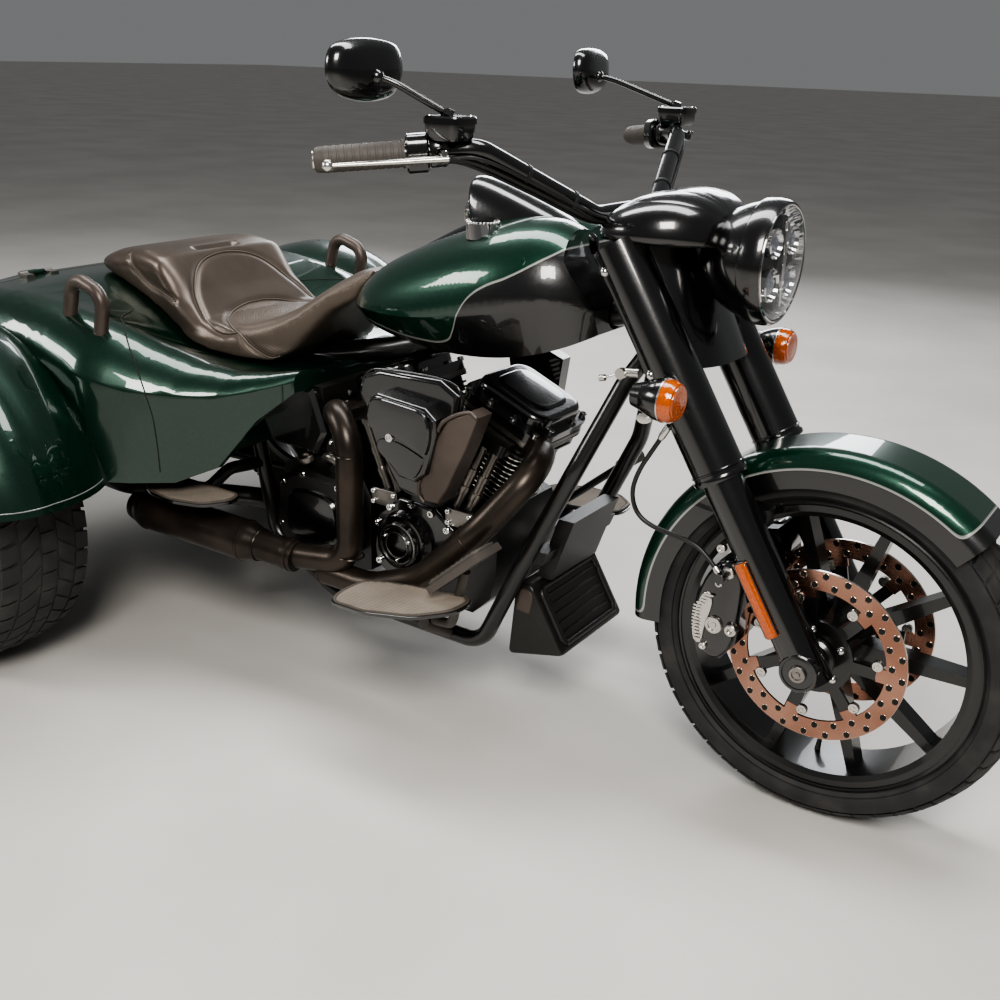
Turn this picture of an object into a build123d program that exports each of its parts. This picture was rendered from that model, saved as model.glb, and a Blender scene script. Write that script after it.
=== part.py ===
from build123d import *
import os
from math import sin, cos, tan, radians

os.makedirs("parts", exist_ok=True)

# A three-wheeled touring motorcycle with a V-twin engine, in millimetres.
# +X is forward, +Y is the rider's left, +Z is up, and the floor is at Z = 0.

# Wheels and axles
WHEELBASE = 1670
FRONT_AXLE_X = 1000
REAR_AXLE_X = FRONT_AXLE_X - WHEELBASE
FRONT_TYRE_R = 319
FRONT_TYRE_W = 130
FRONT_RIM_R = 245
FRONT_RIM_W = 100
REAR_TYRE_R = 324
REAR_TYRE_W = 205
REAR_RIM_R = 196
REAR_RIM_W = 170
AXLE_R = 12.5
HUB_R = 40
HUB_HALF_W = 52
SPOKE_COUNT = 10
RUN_CLEAR = 0.05
SEAT_GAP = 0.3
MOVE_GAP = 5

# Brakes
DISC_R = 150
DISC_INNER_R = 117
DISC_Y = 79
DISC_T = 5
DISC_BUTTONS = 7

# Steering head and fork
RAKE = 26
TRAIL = 99
LEG_ANGLE = 32
LEG_Y = 123
SLIDER_R = 34
COVER_R = 43
SLIDER_TOP_Z = 600
COVER_TOP_Z = 948
STEM_R = 17
HEAD_R = 34
HEAD_LOW = 882
HEAD_HIGH = 1046
CLAMP_T = 26

# Headlamp
LAMP_X = 836
LAMP_Z = 929
LAMP_R = 91
LAMP_RING_R = 100

# Rear body, trunk and fenders
BODY_REAR_X = -1319
BODY_HALF_W = 455
WELL_STEP = 3
TYRE_GAP = 5.5
REAR_TRACK = 2 * (BODY_HALF_W - WELL_STEP + TYRE_GAP) + REAR_TYRE_W
REAR_STUB_R = 19
FENDER_SKIN = 10
FENDER_OUT_Y = (REAR_TRACK + REAR_TYRE_W) / 2 + 34.5
FENDER_R = REAR_TYRE_R + 88
WELL_R = REAR_TYRE_R + 42
WELL_MOUTH_R = REAR_TYRE_R + 28
FENDER_EDGE_Z = 417
BODY_WALL = 12
LID_T = 14
LID_FRONT_X = -750
LID_REAR_X = -1290
LID_HALF_W = 355
LEDGE_W = 24
HINGE_Z = 751
TRUNK_FLOOR_Z = 357
SEAT_RAIL_Z = 596

# Engine
CRANK_X = 226
CRANK_Z = 262
VEE_HALF = 22.5
CYL_BASE = 190
CYL_TOP = 318
HEAD_T = 31
ROCKER_T = 30
FIN_COUNT = 12
FIN_T = 3.5
PRIMARY_Z = 318
PORT_Y = -222

# Handlebar
BAR_R = 15
GRIP_R = 18.5
GRIP_L = 128

front_axle = Vector(FRONT_AXLE_X, 0, FRONT_TYRE_R)
rear_axle = Vector(REAR_AXLE_X, 0, REAR_TYRE_R)
stem_dir = Vector(-sin(radians(RAKE)), 0, cos(radians(RAKE)))
stem_foot = Vector(FRONT_AXLE_X + TRAIL, 0, 0)


def on_stem(distance, side=0):
    """A point on the steering axis, measured along it from the floor."""
    return stem_foot + stem_dir * distance + Vector(0, side, 0)


def on_leg(z, side):
    """A point on a fork leg's centre line at a height above the floor."""
    return Vector(FRONT_AXLE_X - (z - FRONT_TYRE_R) * tan(radians(LEG_ANGLE)), side * LEG_Y, z)


def rod(start, end, radius, end_radius=None):
    """A round bar, or a cone where end_radius is given, between two points."""
    start, end = Vector(*start), Vector(*end)
    line = end - start
    place = Plane(origin=start, z_dir=line)
    align = (Align.CENTER, Align.CENTER, Align.MIN)
    if end_radius is None:
        return place * Cylinder(radius, line.length, align=align)
    return place * Cone(radius, end_radius, line.length, align=align)


def spun(start, end, profile):
    """A solid turned about the line from start to end, with a profile of (distance, radius)."""
    start = Vector(*start)
    place = Plane(origin=start, z_dir=Vector(*end) - start)
    outline = [(0, 0, profile[0][0])] + [(r, 0, d) for d, r in profile] + [(0, 0, profile[-1][0])]
    return place * revolve(make_face(Polyline(*outline, close=True)), axis=Axis.Z)


def pipe(points, radius, bends):
    """A round tube along straight runs joined by arcs, one radius for each corner."""
    path = FilletPolyline(*points, radius=bends)
    section = Plane(origin=path @ 0, z_dir=path % 0) * Circle(radius)
    return sweep(section, path=path)


def plate(outline, low, high):
    """A side-view outline of (x, z) points, extruded from one Y to another."""
    face = make_face(Polyline(*[(x, low, z) for x, z in outline], close=True))
    return extrude(face, amount=high - low, dir=(0, 1, 0))


def slab(outline, low, high):
    """A plan-view outline of (x, y) points, extruded from one Z to another."""
    face = make_face(Polyline(*[(x, y, low) for x, y in outline], close=True))
    return extrude(face, amount=high - low, dir=(0, 0, 1))


def block(x0, x1, y0, y1, z0, z1):
    """A box between two corners."""
    centre = ((x0 + x1) / 2, (y0 + y1) / 2, (z0 + z1) / 2)
    return Pos(*centre) * Box(x1 - x0, y1 - y0, z1 - z0)


def turned(edges, centre):
    """A closed profile of (radius, y) edges turned about a cross axis through centre."""
    return Pos(*centre) * revolve(make_face(edges), axis=Axis.Y)


def both(shape):
    """The shape and its mirror image on the other side of the middle."""
    return [shape, mirror(shape, about=Plane.XZ)]


def save(name, *shapes):
    """Write one node."""
    flat = []
    for shape in shapes:
        flat.extend(shape if isinstance(shape, list) else [shape])
    solids = [solid for shape in flat for solid in shape.solids()]
    export_step(Compound(children=solids), f"parts/{name}.step")


def eased(rows, step):
    """Rows about a step apart in x between the given ones, on smooth curves that don't overshoot."""
    count = len(rows)
    runs = [rows[i + 1][0] - rows[i][0] for i in range(count - 1)]
    columns = []
    for column in zip(*rows):
        slopes = [(column[i + 1] - column[i]) / runs[i] for i in range(count - 1)]
        tangents = [slopes[0]]
        for before, after in zip(slopes, slopes[1:]):
            tangents.append(2 * before * after / (before + after) if before * after > 0 else 0)
        columns.append((column, tangents + [slopes[-1]]))
    made = [rows[0]]
    for i, run in enumerate(runs):
        parts = max(1, round(abs(run) / step))
        for k in range(1, parts + 1):
            t = k / parts
            row = []
            for column, tangents in columns:
                start, end = column[i], column[i + 1]
                ease = t * t * (3 - 2 * t)
                lead = run * (t * (1 - t) ** 2 * tangents[i] - t * t * (1 - t) * tangents[i + 1])
                row.append(start + (end - start) * ease + lead)
            made.append(tuple(row))
    return made


def fused(*shapes):
    """One solid from several that touch."""
    flat = []
    for shape in shapes:
        flat.extend(shape if isinstance(shape, list) else [shape])
    return flat[0].fuse(*flat[1:]) if len(flat) > 1 else flat[0]


# Front wheel, tyre and discs
def tyre(centre, outer, width, rim, rim_width, crown):
    """A tyre with rounded sidewalls; crown is how far the tread's edge lies below its middle."""
    bead, lip = rim + SEAT_GAP, rim_width / 2
    shoulder_r, shoulder_y = outer - crown, width / 2 - 8
    flange = rim + 13
    middle_r = (flange + shoulder_r) / 2
    half = width / 2
    edges = [
        Line((bead, -lip), (bead, lip)),
        Line((bead, lip), (flange, lip)),
        ThreePointArc((flange, lip), (middle_r, half), (shoulder_r, shoulder_y)),
        ThreePointArc((shoulder_r, shoulder_y), (outer, 0), (shoulder_r, -shoulder_y)),
        ThreePointArc((shoulder_r, -shoulder_y), (middle_r, -half), (flange, -lip)),
        Line((flange, -lip), (bead, -lip)),
    ]
    return turned(edges, centre)


def rim_ring(centre, rim, rim_width, depth):
    """The rim's barrel with a flange each side of the tyre's beads."""
    lip = rim_width / 2 + SEAT_GAP
    outline = [
        (rim - depth, -lip), (rim - depth, lip), (rim - 5, lip + 5), (rim + 11, lip + 5),
        (rim + 11, lip), (rim, lip), (rim, -lip), (rim + 11, -lip), (rim + 11, -lip - 5),
        (rim - 5, -lip - 5),
    ]
    return turned(Polyline(*outline, close=True), centre)


def spokes(centre, count, inner, outer, inner_w, outer_w, half_t, y=0):
    """Tapered spokes in a ring."""
    outline = [(inner, -inner_w / 2), (outer, -outer_w / 2), (outer, outer_w / 2), (inner, inner_w / 2)]
    one = plate(outline, y - half_t, y + half_t)
    return [Pos(*centre) * Rot(0, 360 / count * i, 0) * one for i in range(count)]


front_rim = rim_ring(front_axle, FRONT_RIM_R, FRONT_RIM_W, 14)
hub = Pos(*front_axle) * Rot(90, 0, 0) * Cylinder(HUB_R, 2 * HUB_HALF_W)
hub_core = Pos(*front_axle) * Rot(90, 0, 0) * Cylinder(AXLE_R + RUN_CLEAR, 2 * LEG_Y)
front_spokes = spokes(front_axle, SPOKE_COUNT, HUB_R - 8, FRONT_RIM_R - 10, 30, 17, 19)
carrier_seat = Pos(*front_axle) * Rot(90, 0, 0) * Cylinder(58, 2 * DISC_Y)
save("front_tyre", tyre(front_axle, FRONT_TYRE_R, FRONT_TYRE_W, FRONT_RIM_R, FRONT_RIM_W, 17))


def disc_ring():
    """A brake disc about the Y axis, with a tab inwards at each button."""
    ring = Cylinder(DISC_R, DISC_T) - Cylinder(DISC_INNER_R, DISC_T)
    tabs = []
    for i in range(DISC_BUTTONS):
        tabs.append(Rot(0, 0, 360 / DISC_BUTTONS * i) * Pos(DISC_INNER_R - 4, 0, 0) * Box(22, 24, DISC_T))
    return ring.fuse(*tabs)


def disc_carrier():
    """The dark carrier that the disc floats on, with an arm to each button."""
    arms = []
    for i in range(DISC_BUTTONS):
        arms.append(Rot(0, 0, 360 / DISC_BUTTONS * i) * Pos(78, 0, 0) * Box(46, 20, DISC_T + 1))
    ring = Cylinder(64, DISC_T + 1).fuse(*arms)
    return ring - Cylinder(AXLE_R + 8, 20)


def at_disc(shape, side):
    """Lay a disc part on the front wheel's side."""
    place = front_axle + Vector(0, side * DISC_Y, 0)
    return Pos(*place) * Rot(90, 0, 0) * shape


front_discs = [at_disc(disc_ring(), side) for side in (-1, 1)]
carriers = [at_disc(disc_carrier() - disc_ring(), side) for side in (-1, 1)]
save("front_discs", front_discs)
save("front_wheel", fused(front_rim, hub, carrier_seat, front_spokes, carriers) - hub_core)

# Front axle and fork
axle_half = LEG_Y + SLIDER_R
axle_bore = rod(front_axle - Vector(0, 200, 0), front_axle + Vector(0, 200, 0), AXLE_R + RUN_CLEAR)
save("front_axle", rod(front_axle - Vector(0, axle_half, 0), front_axle + Vector(0, axle_half, 0), AXLE_R))


def slider(side):
    """A lower leg with its axle lug and a boss for the fender's strut."""
    tube = rod(on_leg(FRONT_TYRE_R - 26, side), on_leg(SLIDER_TOP_Z, side), SLIDER_R)
    foot = front_axle + Vector(0, side * LEG_Y, 0)
    lug = Pos(*foot) * Rot(90, 0, 0) * Cylinder(31, 2 * SLIDER_R - 4)
    return (tube + lug) - axle_bore


def cover(side, grow=0):
    """An upper leg with its cover."""
    return rod(on_leg(SLIDER_TOP_Z, side), on_leg(COVER_TOP_Z, side), COVER_R + grow)


HOSE_START = Vector(733, -150, 671)
hose_guide = rod((776, -LEG_Y, 700), HOSE_START + Vector(1, 0, 4), 7)
fork_covers = [fused(cover(-1), hose_guide), cover(1)]
save("fork_sliders", [slider(-1), slider(1)])
save("fork_covers", fork_covers)


def fork_clamp(low, depth_back, depth_front):
    """A triple clamp square to the steering axis, reaching both legs."""
    place = Plane(origin=on_stem(low), x_dir=(cos(radians(RAKE)), 0, sin(radians(RAKE))), z_dir=stem_dir)
    half = LEG_Y + 4
    outline = [
        (-depth_back, -half), (depth_front - 14, -half), (depth_front, -36), (depth_front, 36),
        (depth_front - 14, half), (-depth_back, half),
    ]
    return extrude(place * make_face(Polyline(*outline, close=True)), amount=CLAMP_T)


stem = rod(on_stem(HEAD_LOW - CLAMP_T), on_stem(HEAD_HIGH + CLAMP_T), STEM_R)
lower_clamp = fork_clamp(HEAD_LOW - CLAMP_T - 2, 32, 38)
upper_clamp = fork_clamp(HEAD_HIGH + 2, 52, 34)
triple_clamps = fused(stem, lower_clamp, upper_clamp) - fork_covers
save("triple_clamps", triple_clamps)

# Headlamp, its bucket and the cowl over the fork
def lamp_bucket(grow=0):
    """The lamp's bowl, turned about a level fore-and-aft axis."""
    profile = [
        (LAMP_X - 2, 0), (LAMP_X - 2, LAMP_RING_R + grow), (LAMP_X - 34, LAMP_RING_R + grow),
        (LAMP_X - 66, 90 + grow), (LAMP_X - 100, 68 + grow), (LAMP_X - 128 - grow, 36 + grow),
        (LAMP_X - 128 - grow, 0),
    ]
    face = make_face(Polyline(*[(x, 0, z) for x, z in profile], close=True))
    return Pos(0, 0, LAMP_Z) * revolve(face, axis=Axis.X)


lens_cut = Pos(LAMP_X, 0, LAMP_Z) * Rot(0, 90, 0) * Cylinder(LAMP_R, 44)
lens = Pos(LAMP_X - 11, 0, LAMP_Z) * Rot(0, 90, 0) * Cylinder(LAMP_R - SEAT_GAP, 22)
headlamp = lamp_bucket() - lens_cut
save("headlamp_bucket", headlamp)
save("headlamp_lens", lens)

cowl_plan = [(556, -96), (592, -150), (660, -148), (744, -96), (764, -60), (764, 60), (744, 96), (660, 148), (592, 150), (556, 96)]
cowl_side = [(548, 950), (558, 988), (596, 1014), (644, 1030), (694, 1028), (736, 1010), (764, 978), (764, 950)]
COWL_BROW_Z, COWL_CROWN_Z = 972, 1030
cowl_front = make_face([
    Line((500, -152, COVER_TOP_Z), (500, 152, COVER_TOP_Z)),
    Line((500, 152, COVER_TOP_Z), (500, 152, COWL_BROW_Z)),
    ThreePointArc((500, 152, COWL_BROW_Z), (500, 118, 1012), (500, 60, COWL_CROWN_Z)),
    Line((500, 60, COWL_CROWN_Z), (500, -60, COWL_CROWN_Z)),
    ThreePointArc((500, -60, COWL_CROWN_Z), (500, -118, 1012), (500, -152, COWL_BROW_Z)),
    Line((500, -152, COWL_BROW_Z), (500, -152, COVER_TOP_Z)),
])
cowl = slab(cowl_plan, COVER_TOP_Z + 2, 1040) & plate(cowl_side, -160, 160) & extrude(cowl_front, amount=300, dir=(1, 0, 0))
bar_points = [(585, 0, 992), (556, -105, 986), (478, -330, 1094), (298, -483, 1073)]


def bar_tube(radius):
    """The handlebar, whole, from one grip end to the other."""
    left = [(x, -y, z) for x, y, z in reversed(bar_points)]
    return pipe(left[:-1] + bar_points, radius, [46, 60, 240, 60, 46])


handlebar = bar_tube(BAR_R)
head_room = rod(on_stem(HEAD_LOW - 5), on_stem(HEAD_HIGH + MOVE_GAP), HEAD_R + MOVE_GAP)
cowl = cowl - upper_clamp - fork_covers - lamp_bucket(SEAT_GAP) - bar_tube(BAR_R + SEAT_GAP) - head_room
save("fork_cowl", cowl.solids().sort_by(SortBy.VOLUME)[-1])
save("handlebar", handlebar)


def along_grip(distance, side, up=0):
    """A point on a grip's centre line, measured from the bar's end."""
    end, bend = Vector(*bar_points[3]), Vector(*bar_points[2])
    spot = end + (bend - end).normalized() * distance
    return Vector(spot.X, -side * spot.Y, spot.Z + up)


def grip(side):
    """A rubber grip over the bar's end."""
    outer = rod(along_grip(-4, side), along_grip(GRIP_L, side), GRIP_R)
    return outer - rod(along_grip(0, side), along_grip(GRIP_L + 1, side), BAR_R)


def controls(side):
    """Switch housing, lever clamp and fluid reservoir round the bar."""
    housing = rod(along_grip(GRIP_L + 1, side), along_grip(GRIP_L + 34, side), 27)
    clamp = rod(along_grip(GRIP_L + 34, side), along_grip(GRIP_L + 62, side), 22)
    middle = along_grip(GRIP_L + 48, side)
    reservoir = Pos(middle.X + 22, middle.Y, middle.Z + 34) * Box(58, 62, 34)
    return fused(housing, clamp, reservoir)


def lever(side):
    """A hand lever that runs along in front of the grip, with a ball at its end."""
    out = Vector(0.55, side * 0.45, 0).normalized() * 50
    pivot = along_grip(GRIP_L + 46, side) + out + Vector(0, 0, -6)
    tip = along_grip(8, side) + out + Vector(0, 0, -4)
    arm = rod(pivot, tip, 9, 5)
    return fused(arm, Pos(*tip) * Sphere(9), rod(pivot, along_grip(GRIP_L + 46, side), 8))


grips = [grip(-1), grip(1)]
save("grips", grips)
hand_controls = [fused(controls(side), lever(side)) - grips[i] - handlebar for i, side in enumerate((-1, 1))]
save("hand_controls", [max(shape.solids(), key=lambda s: s.volume) for shape in hand_controls])

MIRRORS = (  # side, centre x, y, z, turn about Z
    (-1, 349, -430, 1197, 10),
    (1, 270, 350, 1197, -10),
)


def mirror_head(side, x, y, z, turn):
    """An oval mirror shell on a stem from the lever clamp."""
    shell = Rot(0, 90, 0) * extrude(SlotOverall(150, 88), amount=26, both=False)
    shell = fillet(shell.faces().sort_by(Axis.X)[-1].edges(), 10)
    shell = Pos(x - 8, y, z) * Rot(0, 0, turn) * Rot(90, 0, 0) * shell
    foot = along_grip(GRIP_L + 48, side)
    foot = Vector(foot.X + 22, foot.Y, foot.Z + 51)
    stalk = rod(foot, Vector(x + 10, y, z), 5.5)
    return fused(shell, stalk - shell)


save("mirrors", [mirror_head(*row) - hand_controls[i] for i, row in enumerate(MIRRORS)])

# Front signals on a bar behind the fork covers
SIGNAL_X, SIGNAL_Y, SIGNAL_Z = 764, 232, 743
signal_bodies, signal_lenses = [], []
for side in (-1, 1):
    body = rod((SIGNAL_X - 52, side * SIGNAL_Y, SIGNAL_Z), (SIGNAL_X, side * SIGNAL_Y, SIGNAL_Z), 18, 34)
    arm = rod((SIGNAL_X - 26, side * LEG_Y, SIGNAL_Z - 6), (SIGNAL_X - 26, side * SIGNAL_Y, SIGNAL_Z - 2), 9)
    signal_bodies.append((body + arm) - fork_covers)
    signal_lenses.append(rod((SIGNAL_X, side * SIGNAL_Y, SIGNAL_Z), (SIGNAL_X + 24, side * SIGNAL_Y, SIGNAL_Z), 34, 26))
save("front_signals", signal_bodies)

# Front fender, concentric with the wheel
FENDER_GAP = 24
FENDER_T = 3
FENDER_HALF_W = 77
FENDER_SKIRT = 62
crown_r = FRONT_TYRE_R + FENDER_GAP + FENDER_T
low_r = crown_r - FENDER_SKIRT
round_r = 34


def fender_profile(inset):
    """The fender's cross-section outline, drawn in by a distance."""
    top, half = crown_r - inset, FENDER_HALF_W - inset
    corner = round_r - inset
    knee = corner * (1 - cos(radians(45)))
    return [
        Line((low_r, half), (top - corner, half)),
        ThreePointArc((top - corner, half), (top - knee, half - knee), (top, half - corner)),
        Line((top, half - corner), (top, corner - half)),
        ThreePointArc((top, corner - half), (top - knee, knee - half), (top - corner, -half)),
        Line((top - corner, -half), (low_r, -half)),
        Line((low_r, -half), (low_r, half)),
    ]


FENDER_FRONT_ANGLE = 48
FENDER_REAR_ANGLE = 186
fender_span = FENDER_REAR_ANGLE - FENDER_FRONT_ANGLE


def fender_turn(edges):
    """Turn a fender profile from its front tip back over the wheel."""
    face = Rot(0, -FENDER_FRONT_ANGLE, 0) * make_face(edges)
    return Pos(*front_axle) * revolve(face, axis=Axis.Y, revolution_arc=-fender_span)


front_fender = fender_turn(fender_profile(0)) - fender_turn(fender_profile(FENDER_T))
struts = []
for side in (-1, 1):
    spot = on_leg(540, side)
    struts.append(block(spot.X - 14, spot.X + 40, *sorted((side * FENDER_HALF_W, side * (LEG_Y - 10))), 528, 560))
front_fender = fused(front_fender, [strut - slider(-1) - slider(1) for strut in struts])
save("front_fender", front_fender)

# Calipers behind the legs, each straddling its disc
BANJO_X, BANJO_Z = 852, 444
caliper_outline = [(868, 468), (838, 462), (816, 420), (806, 360), (826, 296), (856, 286), (880, 320), (884, 372), (893, 400)]
calipers = []
for side in (-1, 1):
    body = plate(caliper_outline, *sorted((side * 50, side * 128)))
    slot = Pos(*front_axle) * Rot(90, 0, 0) * Cylinder(DISC_R + MOVE_GAP, 400)
    gap_low, gap_high = DISC_Y - DISC_T / 2 - MOVE_GAP, DISC_Y + DISC_T / 2 + MOVE_GAP
    slot = slot & block(600, 1400, *sorted((side * gap_low, side * gap_high)), 0, 700)
    banjo = rod((BANJO_X, side * 100, BANJO_Z), (BANJO_X, side * 156, BANJO_Z), 10)
    calipers.append((body + banjo) - slot - slider(side))
save("front_calipers", calipers)

reflectors = []
for side in (-1, 1):
    top, low = on_leg(486, side), on_leg(376, side)
    shift = Vector(-12, side * (SLIDER_R - 6), -6)
    bar = rod(top + shift, low + shift, 14)
    reflectors.append(bar - slider(side))
save("amber_lenses", signal_lenses, reflectors)

# Brake hose from a guide on the right fork cover, in a loop behind the leg, to the caliper
HOSE_R = 4
HOSE_Y = -150
hose_route = [
    tuple(HOSE_START), (714, HOSE_Y - 4, 634), (692, HOSE_Y - 6, 594), (681, HOSE_Y - 6, 552), (694, HOSE_Y - 4, 514),
    (730, HOSE_Y - 2, 498), (775, HOSE_Y, 494), (817, HOSE_Y, 484), (BANJO_X, HOSE_Y, BANJO_Z),
]


def cord_tube(points, radius):
    """A hose along its points, with each bend as large as its runs allow."""
    radii = []
    for i in range(1, len(points) - 1):
        a, b, c = (Vector(*points[j]) for j in (i - 1, i, i + 1))
        turn = (b - a).get_angle(c - b)
        reach = 0.45 * min((b - a).length, (c - b).length)
        radii.append(reach / tan(radians(turn / 2)))
    print("cord radii", [round(r) for r in radii])
    return pipe(points, radius, radii)


hose = cord_tube(hose_route, HOSE_R) - calipers[0] - fork_covers[0]
save("brake_hose", max(hose.solids(), key=lambda s: s.volume))

# Frame
HEAD_BORE = STEM_R + RUN_CLEAR
DOWN_Y = 128
RAIL_Z = 158


def frame_tubes(grow=0):
    """The frame's tubes, fused; grow makes the room that other parts leave for them."""
    tubes = [rod(on_stem(HEAD_LOW), on_stem(HEAD_HIGH), HEAD_R + grow)]
    neck = on_stem(HEAD_LOW + 60)
    tubes.append(pipe([(neck.X - 10, 0, neck.Z - 6), (470, 0, 792), (60, 0, 668), (-250, 0, SEAT_RAIL_Z)], 24 + grow, [200, 300]))
    for side in (-1, 1):
        y = side * DOWN_Y
        start = on_stem(HEAD_LOW + 62)
        down = [
            (start.X - 8, side * 10, start.Z), (640, side * 22, 775), (603, side * 58, 702), (553, y * 0.95, 552),
            (458, y, 350), (372, y, RAIL_Z), (0, y, RAIL_Z), (-170, y, 250), (-240, y, SEAT_RAIL_Z),
            (-640, y, SEAT_RAIL_Z),
        ]
        tubes.append(pipe(down, 16 + grow, [40, 60, 100, 400, 60, 90, 60, 46]))
        tubes.append(rod((-205, y, 420), (-800, y, 420), 14 + grow))
    tubes.append(rod((-240, -DOWN_Y, SEAT_RAIL_Z), (-240, DOWN_Y, SEAT_RAIL_Z), 14 + grow))
    tubes.append(rod((-170, -DOWN_Y, 262), (-170, DOWN_Y, 262), 16 + grow))
    tubes.append(rod((-620, -DOWN_Y, SEAT_RAIL_Z), (-620, DOWN_Y, SEAT_RAIL_Z), 12 + grow))
    tubes.append(rod((-560, -DOWN_Y, SEAT_RAIL_Z), (-560, -DOWN_Y, 420), 12 + grow))
    tubes.append(rod((-560, DOWN_Y, SEAT_RAIL_Z), (-560, DOWN_Y, 420), 12 + grow))
    tubes.append(rod((-785, -DOWN_Y, 420), (-785, DOWN_Y, 420), 12 + grow))
    return fused(tubes)


stem_bore = rod(on_stem(HEAD_LOW - 60), on_stem(HEAD_HIGH + 60), HEAD_BORE)
frame = frame_tubes() - stem_bore
frame_room = frame_tubes(SEAT_GAP)
save("frame", frame)

# Engine: crankcase, two finned cylinders in a V, heads and covers
crank = Vector(CRANK_X, 0, CRANK_Z)


def on_cylinder(lean, distance, side=0, across=0):
    """A point on a cylinder's axis, or beside it, measured from the crank."""
    up = Vector(sin(radians(lean)), 0, cos(radians(lean)))
    right = Vector(cos(radians(lean)), 0, -sin(radians(lean)))
    return crank + up * distance + right * across + Vector(0, side, 0)


def barrel_plane(lean, distance):
    """A work plane square to a cylinder's axis."""
    right = Vector(cos(radians(lean)), 0, -sin(radians(lean)))
    up = Vector(sin(radians(lean)), 0, cos(radians(lean)))
    return Plane(origin=on_cylinder(lean, distance), x_dir=right, z_dir=up)


def rounded(plane, length, width, corner, height):
    """A rounded block that stands on a plane."""
    return extrude(plane * RectangleRounded(length, width, corner), amount=height)


case_outline = [
    (104, 228), (150, 196), (326, 196), (366, 236), (378, 300), (378, 384), (366, 408), (232, 463), (220, 463),
    (92, 410), (104, 340),
]
crankcase = plate(case_outline, -96, 116)
lifter_blocks = []
for lean in (VEE_HALF, -VEE_HALF):
    spot = on_cylinder(lean, CYL_BASE + 4, 0, 18 if lean > 0 else -18)
    lifter_blocks.append(block(spot.X - 30, spot.X + 30, -134, -90, spot.Z - 46, spot.Z - 14))
crankcase = fused(crankcase, lifter_blocks) - frame_room
save("crankcase", crankcase)

cylinders, heads, rockers = [], [], []
for lean in (VEE_HALF, -VEE_HALF):
    core = rod(on_cylinder(lean, CYL_BASE - 20), on_cylinder(lean, CYL_TOP), 56)
    pitch = (CYL_TOP - CYL_BASE) / FIN_COUNT
    fins = [rounded(barrel_plane(lean, CYL_BASE + pitch * i), 150, 164, 30, FIN_T) for i in range(FIN_COUNT)]
    cylinders.append(fused(core, fins) - crankcase)
    head = rounded(barrel_plane(lean, CYL_TOP + SEAT_GAP), 166, 172, 26, HEAD_T)
    head_fins = [rounded(barrel_plane(lean, CYL_TOP + 6 + 10 * i), 178, 184, 30, 4) for i in range(2)]
    boss_plane = barrel_plane(lean, CYL_TOP + 8)
    forward = 1 if lean > 0 else -1
    boss = extrude(boss_plane * Pos(24 * forward, -106) * RectangleRounded(64, 50, 12), amount=HEAD_T - 8)
    heads.append(fused(head, head_fins, boss))
    rocker_low = CYL_TOP + HEAD_T + 2 * SEAT_GAP
    base = rounded(barrel_plane(lean, rocker_low), 190, 188, 34, ROCKER_T)
    top = rounded(barrel_plane(lean, rocker_low + ROCKER_T), 164, 158, 36, 30)
    top = fillet(top.faces().sort_by(lambda face: (face.center() - crank).length)[-1].edges(), 12)
    rockers.append(fused(base, top))
cylinders[1] = cylinders[1] - cylinders[0]
cylinders = [max((shape - frame_room).solids(), key=lambda s: s.volume) for shape in cylinders]
save("cylinders", cylinders)
save("cylinder_heads", [shape - frame_room for shape in heads])
save("rocker_covers", [shape - frame_room for shape in rockers])

CAM_X, CAM_Z, CAM_R = 194, 330, 62
CAM_INNER_Y, CAM_STEP_Y, CAM_FACE_Y = -96 - SEAT_GAP, -140, -160
cam_wing = [
    (110, 300), (118, 262), (160, 236), (240, 240), (290, 272), (318, 330), (306, 380), (262, 412), (176, 416), (120, 372),
]
cam_low = plate(cam_wing, CAM_STEP_Y, CAM_INNER_Y)
cam_low = fillet(cam_low.faces().sort_by(Axis.Y)[0].edges(), 8)
cam_round = rod((CAM_X, CAM_STEP_Y, CAM_Z), (CAM_X, CAM_FACE_Y, CAM_Z), CAM_R, CAM_R - 6)
cam_cap = rod((CAM_X, CAM_FACE_Y, CAM_Z), (CAM_X, CAM_FACE_Y - 8, CAM_Z), 45, 42)
cam_cover = fused(cam_low, cam_round, cam_cap) - frame_room - crankcase
save("cam_cover", cam_cover)

pushrods = []
for lean, shift in ((VEE_HALF, 6), (VEE_HALF, 34), (-VEE_HALF, -6), (-VEE_HALF, -34)):
    low = on_cylinder(lean, CYL_BASE - 20, -113, shift * 0.9)
    high = on_cylinder(lean, CYL_TOP + 14, -113, shift)
    pushrods.append(rod(low, high, 9.5) - cam_cover - crankcase)
pushrods = [shape - heads[0] - heads[1] - cylinders[0] - cylinders[1] for shape in pushrods]
save("pushrod_tubes", [shape.solids().sort_by(SortBy.VOLUME)[-1] for shape in pushrods])

gearbox_outline = [
    (-142, 286), (-110, 232), (60, 228), (103, 240), (103, 400), (70, 452), (-60, 458), (-130, 420),
]
gearbox = plate(gearbox_outline, -138, 104)
side_cover_outline = [(-128, 292), (-100, 250), (40, 246), (84, 280), (84, 380), (52, 424), (-54, 432), (-118, 402)]
gearbox_cover = plate(side_cover_outline, -172, -138)
gearbox_cover = chamfer(gearbox_cover.faces().sort_by(Axis.Y)[0].edges(), 10)
starter = rod((40, -120, 484), (40, 60, 484), 30)
starter_cap = rod((40, -150, 484), (40, -120, 484), 36)
gearbox = fused(gearbox, starter, starter_cap, rod((40, -20, 484), (40, -20, 440), 24), gearbox_cover)
gearbox = gearbox - frame_room - crankcase - cylinders
save("gearbox", max(gearbox.solids(), key=lambda s: s.volume))

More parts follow.
